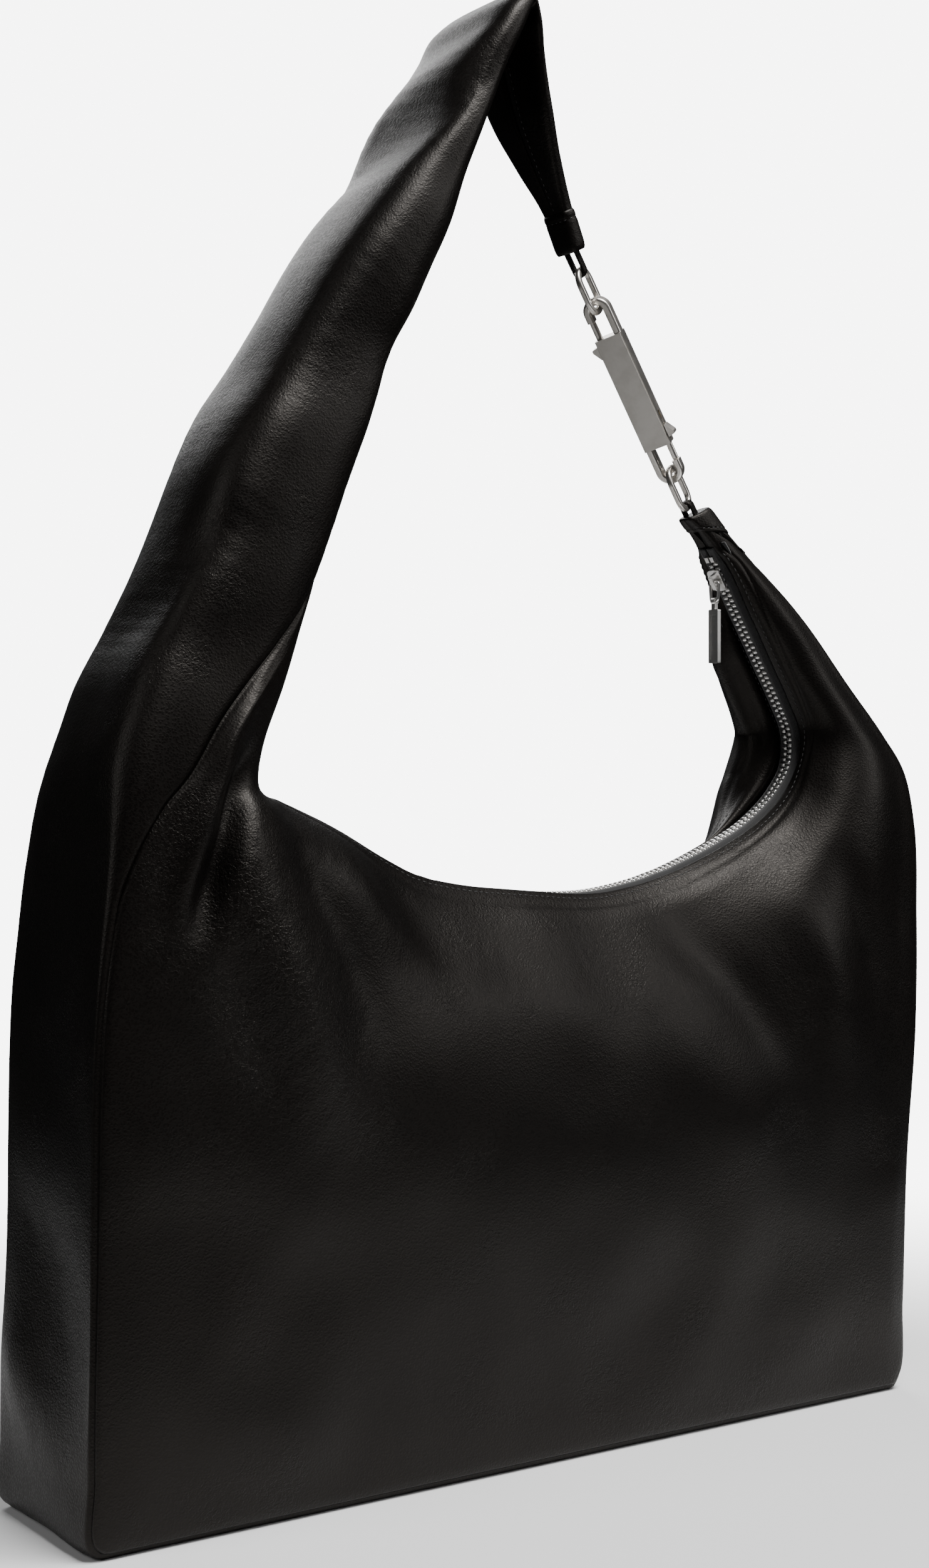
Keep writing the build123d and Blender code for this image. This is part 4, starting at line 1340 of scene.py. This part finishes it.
    def facing_stitches(self, panel: bpy.types.Object, piece: Piece) -> bpy.types.Object:
        """Row of stitches that holds the folded edge beside the zip.

        Args:
            panel: the panel that is sewn.
            piece: front or back.

        Returns:
            The stitches.
        """
        form = self.form
        side_value = FRONT if piece is Piece.FRONT else BACK
        length = np.linspace(form.at(ZIP_NEAR + 0.1), form.at(ZIP_FAR - 0.2), 900)
        steps = np.linspace(0.0, 3.0, 160)
        line = []
        for one in length:
            many = np.full_like(steps, one)
            strip = form.surface(many, steps, np.full_like(steps, side_value))
            line.append(read_line(np.array([5.6 * MM]), run_along(strip), strip)[0])
        row = sew(f"{piece.value}_zip_stitches", panel, np.array(line), 3.2, stitch_mesh(2.3, 0.6, 0.45))
        return dress(row, self.thread, Slot.LEATHER, "bag")


@dataclass
class Collars:
    """Short sleeves that gather the leather at the two ends of the chain."""

    form: LeatherForm
    leather: bpy.types.Material
    thread: bpy.types.Material
    proud: float = 0.9

    def sleeve(self, name: str, near: float, far: float, node: str) -> bpy.types.Object:
        """Closed sleeve round the form between two stations, with a closed outer end.

        Args:
            name: the object's name.
            near: the station of its closed end.
            far: the station of its other end.
            node: the node that it stands for.

        Returns:
            The sleeve.
        """
        form = self.form
        sheet = grid_object(name, 26, 96)
        along, across = grid_places(sheet)
        length = form.span(along, near, far)
        v = 4.0 * across - 2.0
        side = np.where(v < 0, FRONT, BACK)
        q = GUSSET_MIDDLE * (1.0 - np.abs(v) / 2.0)
        points = form.surface(length, q, side)
        middle = form.middle(length)
        swell = self.proud * (1.0 - np.abs(2.0 * along - 1.0) ** 8) + 0.1
        swell -= 0.35 * bell(along, 0.8, 0.05)
        out = points - middle
        size = np.maximum(np.linalg.norm(out, axis=1, keepdims=True), 1e-6)
        points = points + out / size * (swell * MM)[:, None]
        set_points(sheet, points)
        bm = bmesh.new()
        bm.from_mesh(sheet.data)
        bmesh.ops.remove_doubles(bm, verts=bm.verts, dist=0.00002)
        edges = [e for e in bm.edges if e.is_boundary]
        new = bmesh.ops.extrude_edge_only(bm, edges=edges)["geom"]
        verts = [x for x in new if isinstance(x, bmesh.types.BMVert)]
        ends = [Vector(c) for c in form.middle(np.array([form.at(near), form.at(far)]))]
        for vert in verts:
            target = min(ends, key=lambda c: (c - vert.co).length)
            vert.co = vert.co.lerp(target, 0.35)
        bmesh.ops.holes_fill(bm, edges=[e for e in bm.edges if e.is_boundary], sides=0)
        bmesh.ops.recalc_face_normals(bm, faces=bm.faces)
        bm.to_mesh(sheet.data)
        bm.free()
        store_crumple(sheet, np.full(len(sheet.data.vertices), 0.12))
        return dress(sheet, self.leather, Slot.LEATHER, "bag", node)

    def stitches(self, name: str, sleeve: bpy.types.Object, station: float) -> bpy.types.Object:
        """Row of stitches round a sleeve.

        Args:
            name: the object's name.
            sleeve: the sleeve that is sewn.
            station: where the row is.

        Returns:
            The stitches.
        """
        q = np.concatenate([np.linspace(0.05, 8.0, 160), np.linspace(8.0, 0.05, 160)])
        side = np.concatenate([np.full(160, FRONT), np.full(160, BACK)])
        line = self.form.surface(np.full_like(q, self.form.at(station)), q, side)
        row = sew(name, sleeve, line, 2.6, stitch_mesh(1.8, 0.55, 0.45))
        return dress(row, self.thread, Slot.LEATHER, "bag")


@dataclass
class Lining:
    """Cloth inside the bag and its slip pocket."""

    form: LeatherForm
    cloth: bpy.types.Material
    inset: float = 3.4
    wall: float = 0.8

    def sheet(self, name: str, side_value: float, nodes: tuple[str, ...]) -> bpy.types.Object:
        """One side of the lining, a little inside the leather.

        Args:
            name: the object's name.
            side_value: -1 front, 1 back, 0 for the band between them.
            nodes: the nodes that it stands for.

        Returns:
            The cloth.
        """
        form = self.form
        sheet = grid_object(name, 240, 36)
        along, across = grid_places(sheet)
        length = form.span(along, LINING_NEAR, LINING_FAR)
        if side_value:
            q = 1.3 + across * 4.9
            side = np.full_like(length, side_value)
        else:
            v = 2.0 * across - 1.0
            q = GUSSET_MIDDLE - np.abs(v) * 1.6
            side = np.where(v < 0, FRONT, BACK)
        points = form.eased(length, q, side) if side_value else form.surface(length, q, side)
        normals = lay(sheet, points, points - form.middle(length))
        slack = self.inset + 0.5 * np.abs(rolling(points, 25.0, 1.0))
        if side_value:
            folds = Body.FRONT_FOLDS if side_value == FRONT else Body.BACK_FOLDS
            to_seam = millimetres_apart(points, form.surface(length, form.seam(length), side))
            to_mouth = millimetres_apart(points, form.surface(length, np.zeros_like(length), side))
            rise, crumple = panel_relief(form, folds, points, length, to_seam, to_mouth, side_value)
            slack = slack - rise + 2.2 * crumple
        else:
            slack = slack + 3.0
        set_points(sheet, points - normals * (slack * MM)[:, None])
        store_uv(sheet, length * MM, across * 0.28)
        thicken(sheet, self.wall)
        return dress(sheet, self.cloth, Slot.LINING, "bag", *nodes)

    def pocket(self) -> bpy.types.Object:
        """Slip pocket on the back lining."""
        form = self.form
        sheet = grid_object("pocket_cloth", 90, 50)
        along, across = grid_places(sheet)
        length = form.span(along, POCKET_NEAR, POCKET_FAR)
        points = form.eased(length, 2.4 + across * 2.6, np.full_like(length, BACK))
        normals = lay(sheet, points, np.tile([0.0, -1.0, 0.0], (len(length), 1)))
        bow = 1.2 * np.sin(math.pi * along) * (1 - across)
        set_points(sheet, points + normals * ((self.inset + 2.2 + bow) * MM)[:, None])
        store_uv(sheet, length * MM, across * 0.13)
        thicken(sheet, 1.0)
        return dress(sheet, self.cloth, Slot.LINING, "bag", "slip_pocket")


@dataclass
class Zip:
    """Tapes and teeth of the curved zip."""

    form: LeatherForm
    cloth: bpy.types.Material
    metal: bpy.types.Material
    pitch: float = 3.0
    tape_edge: float = 10.5
    flat_half: float = 4.8
    fall_run: float = 2.4
    fall: float = 4.4
    tooth: tuple[float, float, float] = (1.6, 3.0, 2.4)
    tooth_gap: float = 0.3

    def tape(self, piece: Piece) -> bpy.types.Object:
        """One woven tape under the leather's edge.

        Args:
            piece: front or back.

        Returns:
            The tape.
        """
        side = FRONT if piece is Piece.FRONT else BACK
        count = 420
        points, _, inward = self.form.mouth_line(ZIP_NEAR + 0.3, ZIP_FAR - 0.12, count)
        sheet = grid_object(f"zip_tape_cloth_{piece.value}", count - 1, 18)
        along, across = grid_places(sheet)
        index = np.clip(np.round(along * (count - 1)).astype(int), 0, count - 1)
        width = 0.7 + across * (self.tape_edge - 0.7)
        y = side * width * MM
        down = np.clip((width - self.flat_half) / self.fall_run, 0.0, 1.0)
        sag = (self.fall * ease(down) - 0.4) * MM
        spots = points[index] + inward[index] * sag[:, None]
        spots[:, 1] = y
        lay(sheet, spots, -inward[index])
        store_uv(sheet, run_along(points)[index], np.abs(y))
        thicken(sheet, 0.8)
        return dress(sheet, self.cloth, Slot.TAPE, "bag", f"zip_tape_{piece.value}")

    def tooth_mesh(self) -> bpy.types.Mesh:
        """One metal tooth, along X, across Y from the tape's edge, out along Z."""
        bm = bmesh.new()
        bmesh.ops.create_cube(bm, size=1.0)
        bmesh.ops.scale(bm, vec=tuple(v * MM for v in self.tooth), verts=bm.verts)
        bmesh.ops.bevel(
            bm, geom=bm.edges[:], affect="EDGES", offset=0.35 * MM, segments=1, profile=0.5, material=-1,
        )
        return close_mesh("tooth", bm)

    def teeth(self, piece: Piece) -> bpy.types.Object:
        """One row of teeth.

        Args:
            piece: front or back.

        Returns:
            The teeth.
        """
        side = FRONT if piece is Piece.FRONT else BACK
        points, tangent, _ = self.form.mouth_line(ZIP_NEAR - 0.05, ZIP_FAR + 0.1, 2400)
        run = run_along(points)
        shift = 0.0 if piece is Piece.FRONT else 0.5
        count = int(run[-1] / (self.pitch * MM)) - 1
        across = np.array([0.0, 1.0, 0.0])
        places = []
        for i in range(1, count):
            k = int(np.searchsorted(run, (i + shift) * self.pitch * MM))
            origin = points[k].copy()
            origin[1] = side * (self.tooth_gap + self.tooth[1] / 2) * MM
            places.append(axes_matrix(tangent[k], across, np.cross(tangent[k], across), origin))
        row = repeat(f"zip_row_{piece.value}", self.tooth_mesh(), places)
        bm = bmesh.new()
        bm.from_mesh(row.data)
        bmesh.ops.recalc_face_normals(bm, faces=bm.faces)
        bm.to_mesh(row.data)
        bm.free()
        return dress(row, self.metal, Slot.ZIP_METAL, "bag", f"zip_teeth_{piece.value}")


@dataclass
class ChainLoops:
    """Leather strips that hold the two links in the collars."""

    leather: bpy.types.Material
    joints: list
    half_thick: float = 1.4
    play: float = 0.35
    skin: float = 1.3
    width: float = 5.4

    def strip(self, name: str, joint: str, other: str, reach: float, node: str) -> bpy.types.Object:
        """Strip round the end of one link.

        Args:
            name: the object's name.
            joint: the joint at the link's eye.
            other: the joint at the other link's eye.
            reach: the length of its legs in millimetres.
            node: the node that it stands for.

        Returns:
            The strip.
        """
        spots = {j["name"]: Vector(j.get("pos_m", (0, 0, 0))) for j in self.joints}
        across = Vector(next(j["axis"] for j in self.joints if j["name"] == joint)).normalized()
        up = (spots[joint] - spots[other]).normalized()
        wide = across.cross(up).normalized()
        radius = (self.half_thick + self.play + self.skin) * MM
        sheet = grid_object(name, 60, 10)
        along, v = grid_places(sheet)
        leg = reach * MM
        half_turn = math.pi * radius
        s = along * (2 * leg + half_turn)
        first_leg, last_leg = s < leg, s > leg + half_turn
        angle = (s - leg) / radius
        x = np.where(first_leg, -radius, np.where(last_leg, radius, -radius * np.cos(angle)))
        z = np.where(first_leg, leg - s, np.where(last_leg, s - leg - half_turn, -radius * np.sin(angle)))
        squeeze = 1.0 - 0.12 * bell(along, 0.5, 0.12)
        y = (v - 0.5) * self.width * MM * squeeze
        crown = 0.25 * MM * (1 - (2 * v - 1) ** 2)
        origin = np.array(spots[joint])
        base = origin + np.outer(x, wide) + np.outer(y, across) + np.outer(z, up)
        normals = lay(sheet, base, np.outer(x, wide) + np.outer(np.minimum(z, 0), up))
        set_points(sheet, base + normals * crown[:, None])
        store_crumple(sheet, np.full(len(s), 0.5))
        thicken(sheet, self.skin)
        soft = sheet.modifiers.new("soft_edge", "BEVEL")
        soft.width = 0.25 * MM
        soft.segments = 2
        return dress(sheet, self.leather, Slot.LEATHER, "bag", node)


@dataclass
class Hardware:
    """Finishes of the carried-over metal pieces and the board."""

    nodes: dict
    finishes: dict

    METALS = {
        Slot.ZIP_METAL: ("zip_slider", "zip_bail", "zip_pull", "zip_stop_front", "zip_stop_back",
                         "zip_end_stop"),
        Slot.HOOK_METAL: ("hook_frame", "upper_link", "lower_link", "upper_gate_pin", "lower_gate_pin",
                          "upper_thumb_piece", "lower_thumb_piece"),
        Slot.SATIN_METAL: ("hook_plate_front", "hook_plate_back"),
        Slot.BOARD: ("base_board",),
    }

    CHAIN_UP = (-0.52992, 0.0, 0.84805)
    SHUT_SHARE = 0.32

    def coil(self, end: str, outward: float) -> bpy.types.Object:
        """Copy of one gate's spring, with the brass finish, shown in place of its node.

        Args:
            end: upper or lower.
            outward: 1 if the gate's jaw is up the chain, or -1 if it is down it.

        Returns:
            The spring.
        """
        source = self.nodes[f"{end}_gate_spring"]
        bpy.context.view_layer.update()
        mesh = source.data.copy()
        mesh.transform(source.matrix_world)
        piece = add_object(f"{end}_gate_coil", mesh)
        dress(piece, self.finishes[Slot.BRASS], Slot.BRASS, "hook", f"{end}_gate_spring")
        axis = Vector(self.CHAIN_UP) * outward
        foot = min((vertex.co for vertex in mesh.vertices), key=lambda spot: spot.dot(axis)).copy()
        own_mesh(piece)
        return piece

    def apply(self) -> None:
        """Give each node the finish of its slot."""
        self.coil("upper", 1.0)
        self.coil("lower", -1.0)
        for slot, names in self.METALS.items():
            for name in names:
                piece = self.nodes[name]
                piece.data.materials.clear()
                piece.data.materials.append(self.finishes[slot])
                LOG.info("%s: %s", name, slot.value)


@dataclass(frozen=True)
class FloorFinish:
    """Pale floor that thins out into the surroundings."""

    name: str
    tone: tuple[float, float, float] = (0.93, 0.93, 0.93)
    solid: float = 0.26
    gone: float = 0.80

    def make(self) -> bpy.types.Material:
        """Build the material."""
        material, g, shader = start_material(self.name)
        place = g.add("ShaderNodeTexCoord").outputs["Object"]
        far = g.add("ShaderNodeVectorMath", operation="LENGTH")
        g.feed(far, n0=place)
        alpha = g.ramp(far.outputs["Value"], self.solid, self.gone, 1.0, 0.0)
        speck = g.noise(place, 3.0, 2.0)
        lighter = tuple(min(1.0, v + 0.02) for v in self.tone)
        base = g.tint(speck, (*self.tone, 1.0), (*lighter, 1.0))
        g.feed(shader, Alpha=alpha, Base_Color=base, Roughness=0.85, Specular_IOR_Level=0.2)
        return material


@dataclass
class Studio:
    """Pale floor, soft lights and the camera."""

    floor_finish: bpy.types.Material
    eye: tuple[float, float, float] = (-0.6370, -0.8590, 0.3074)
    heading: tuple[float, float, float] = (0.578, 0.816, 0.0)
    lens: float = 52.125
    room_light: float = 0.03
    backdrop_light: float = 7.0

    TARGET = (0.0, 0.0, 0.28)
    LIGHTS = (
        ("top_light", (0.2, -0.7, 2.0), (1.2, 0.8), 66.0),
        ("left_light", (-1.9, 0.2, 1.1), (0.5, 1.4), 8.0),
        ("right_light", (1.5, -1.5, 1.3), (0.6, 1.1), 12.0),
        ("back_light", (0.6, 1.8, 1.6), (1.6, 1.0), 24.0),
    )

    def camera(self) -> None:
        """Place the camera, level, at the height of the bag's middle."""
        data = bpy.data.cameras.new("camera")
        data.sensor_fit = "VERTICAL"
        data.sensor_height = 36.0
        data.lens = self.lens
        data.clip_start = 0.01
        piece = add_object("camera", data)
        piece.location = self.eye
        piece.rotation_euler = Vector(self.heading).to_track_quat("-Z", "Y").to_euler()
        bpy.context.scene.camera = piece

    def light(self, name: str, place: tuple, size: tuple, watts: float) -> None:
        """One soft rectangular light, aimed at the middle of the bag.

        Args:
            name: its name.
            place: where it is, in metres.
            size: its width and height.
            watts: its power.
        """
        data = bpy.data.lights.new(name, "AREA")
        data.shape = "RECTANGLE"
        data.size, data.size_y = size
        data.energy = watts
        piece = add_object(name, data)
        piece.location = place
        piece.rotation_euler = (Vector(self.TARGET) - Vector(place)).to_track_quat("-Z", "Y").to_euler()

    def build(self) -> None:
        """Make the floor, the lights, the pale surroundings and the camera."""
        floor = grid_object("floor", 2, 2)
        along, across = grid_places(floor)
        below = np.full_like(along, -0.0002)
        set_points(floor, np.stack([(along - 0.5) * 14, (across - 0.5) * 14, below], 1))
        floor.data.materials.append(self.floor_finish)
        world = bpy.data.worlds.new("pale_room")
        world.use_nodes = True
        g = Graph(world.node_tree)
        seen = g.add("ShaderNodeLightPath").outputs["Is Camera Ray"]
        extra = g.math("MULTIPLY", seen, self.backdrop_light - self.room_light)
        strength = g.math("ADD", self.room_light, extra)
        g.feed(world.node_tree.nodes["Background"], Color=(1.0, 1.0, 1.0, 1.0), Strength=strength)
        bpy.context.scene.world = world
        for light in self.LIGHTS:
            self.light(*light)
        self.camera()


def make_finishes(groups: Groups) -> dict:
    """Build one material for each finish.

    Args:
        groups: the shared node groups.

    Returns:
        The materials by slot, with the thread and the floor by name.
    """
    made = {
        Slot.LEATHER: LeatherFinish("black_hide").make(groups),
        Slot.LINING: ClothFinish(
            "lining_twill", (0.012, 0.012, 0.013), (0.045, 0.044, 0.043), threads=1100.0, slant=0.6,
        ).make(groups),
        Slot.TAPE: ClothFinish(
            "zip_tape_weave", (0.006, 0.006, 0.006), (0.028, 0.027, 0.027), threads=1400.0,
        ).make(groups),
        Slot.ZIP_METAL: MetalFinish(
            "bright_zip", (0.93, 0.92, 0.90), (0.80, 0.78, 0.75), rough=0.28, spread=0.1,
        ).make(groups),
        Slot.HOOK_METAL: MetalFinish(
            "hook_nickel", (0.72, 0.69, 0.65), (0.62, 0.59, 0.55), rough=0.3, spread=0.08,
            scratch=420.0, stretch=0.3,
        ).make(groups),
        Slot.SATIN_METAL: MetalFinish(
            "satin_plate", (0.60, 0.575, 0.54), (0.54, 0.515, 0.48), rough=0.4, spread=0.06,
            scratch=700.0, stretch=0.04,
        ).make(groups),
        Slot.BRASS: MetalFinish(
            "spring_brass", (0.72, 0.55, 0.28), (0.55, 0.40, 0.2), rough=0.3, spread=0.1,
        ).make(groups),
        Slot.BOARD: PlainFinish(
            "board_fibre", (0.10, 0.09, 0.08), (0.16, 0.145, 0.13), rough=0.85, grain=400.0,
        ).make(),
    }
    made["thread"] = PlainFinish(
        "black_thread", (0.012, 0.012, 0.012), (0.035, 0.034, 0.033), rough=0.6, grain=2500.0,
    ).make()
    made["floor"] = FloorFinish("pale_floor").make()
    return made


def main() -> None:
    """Build every sub-assembly in order."""
    logging.basicConfig(level=logging.INFO, format="%(name)s %(message)s")
    groups = Groups(leather_grain(), plain_weave(), metal_wear())
    finishes = make_finishes(groups)
    leather, thread = finishes[Slot.LEATHER], finishes["thread"]
    form = LeatherForm(shift=CAD_BOUNDS[1][0] / MM - PATTERN_RIGHT)
    Studio(finishes["floor"]).build()
    body = Body(form, leather, thread)
    front = body.panel(Piece.FRONT, Body.FRONT_FOLDS, "front_panel")
    back = body.panel(Piece.BACK, Body.BACK_FOLDS, "back_panel")
    band = body.band()
    body.underside()
    body.webbing(finishes[Slot.TAPE])
    body.seam_stitches(band)
    body.facing_stitches(front, Piece.FRONT)
    body.facing_stitches(back, Piece.BACK)
    collars = Collars(form, leather, thread)
    upper = collars.sleeve("strap_sleeve", 0.0, 0.95, "strap_collar")
    lower = collars.sleeve("horn_sleeve", HORN_END, 42.15, "horn_collar")
    collars.stitches("strap_sleeve_stitches", upper, 0.75)
    collars.stitches("horn_sleeve_stitches", lower, 42.35)
    lining = Lining(form, finishes[Slot.LINING])
    lining.sheet("lining_cloth_front", FRONT, ("lining_front",))
    lining.sheet("lining_cloth_back", BACK, ("lining_back",))
    lining.sheet("lining_cloth_band", 0.0, ("lining_left", "lining_base", "lining_right"))
    lining.pocket()
    zipper = Zip(form, finishes[Slot.TAPE], finishes[Slot.ZIP_METAL])
    for piece in Piece:
        zipper.tape(piece)
        zipper.teeth(piece)
    loops = ChainLoops(leather, frame["joints"])
    loops.strip("upper_link_strip", "upper_link_rock", "lower_link_rock", 20.0, "upper_loop")
    loops.strip("lower_link_strip", "lower_link_rock", "upper_link_rock", 8.0, "lower_loop")
    Hardware(frame["nodes"], finishes).apply()


if __name__ == "__main__":
    main()
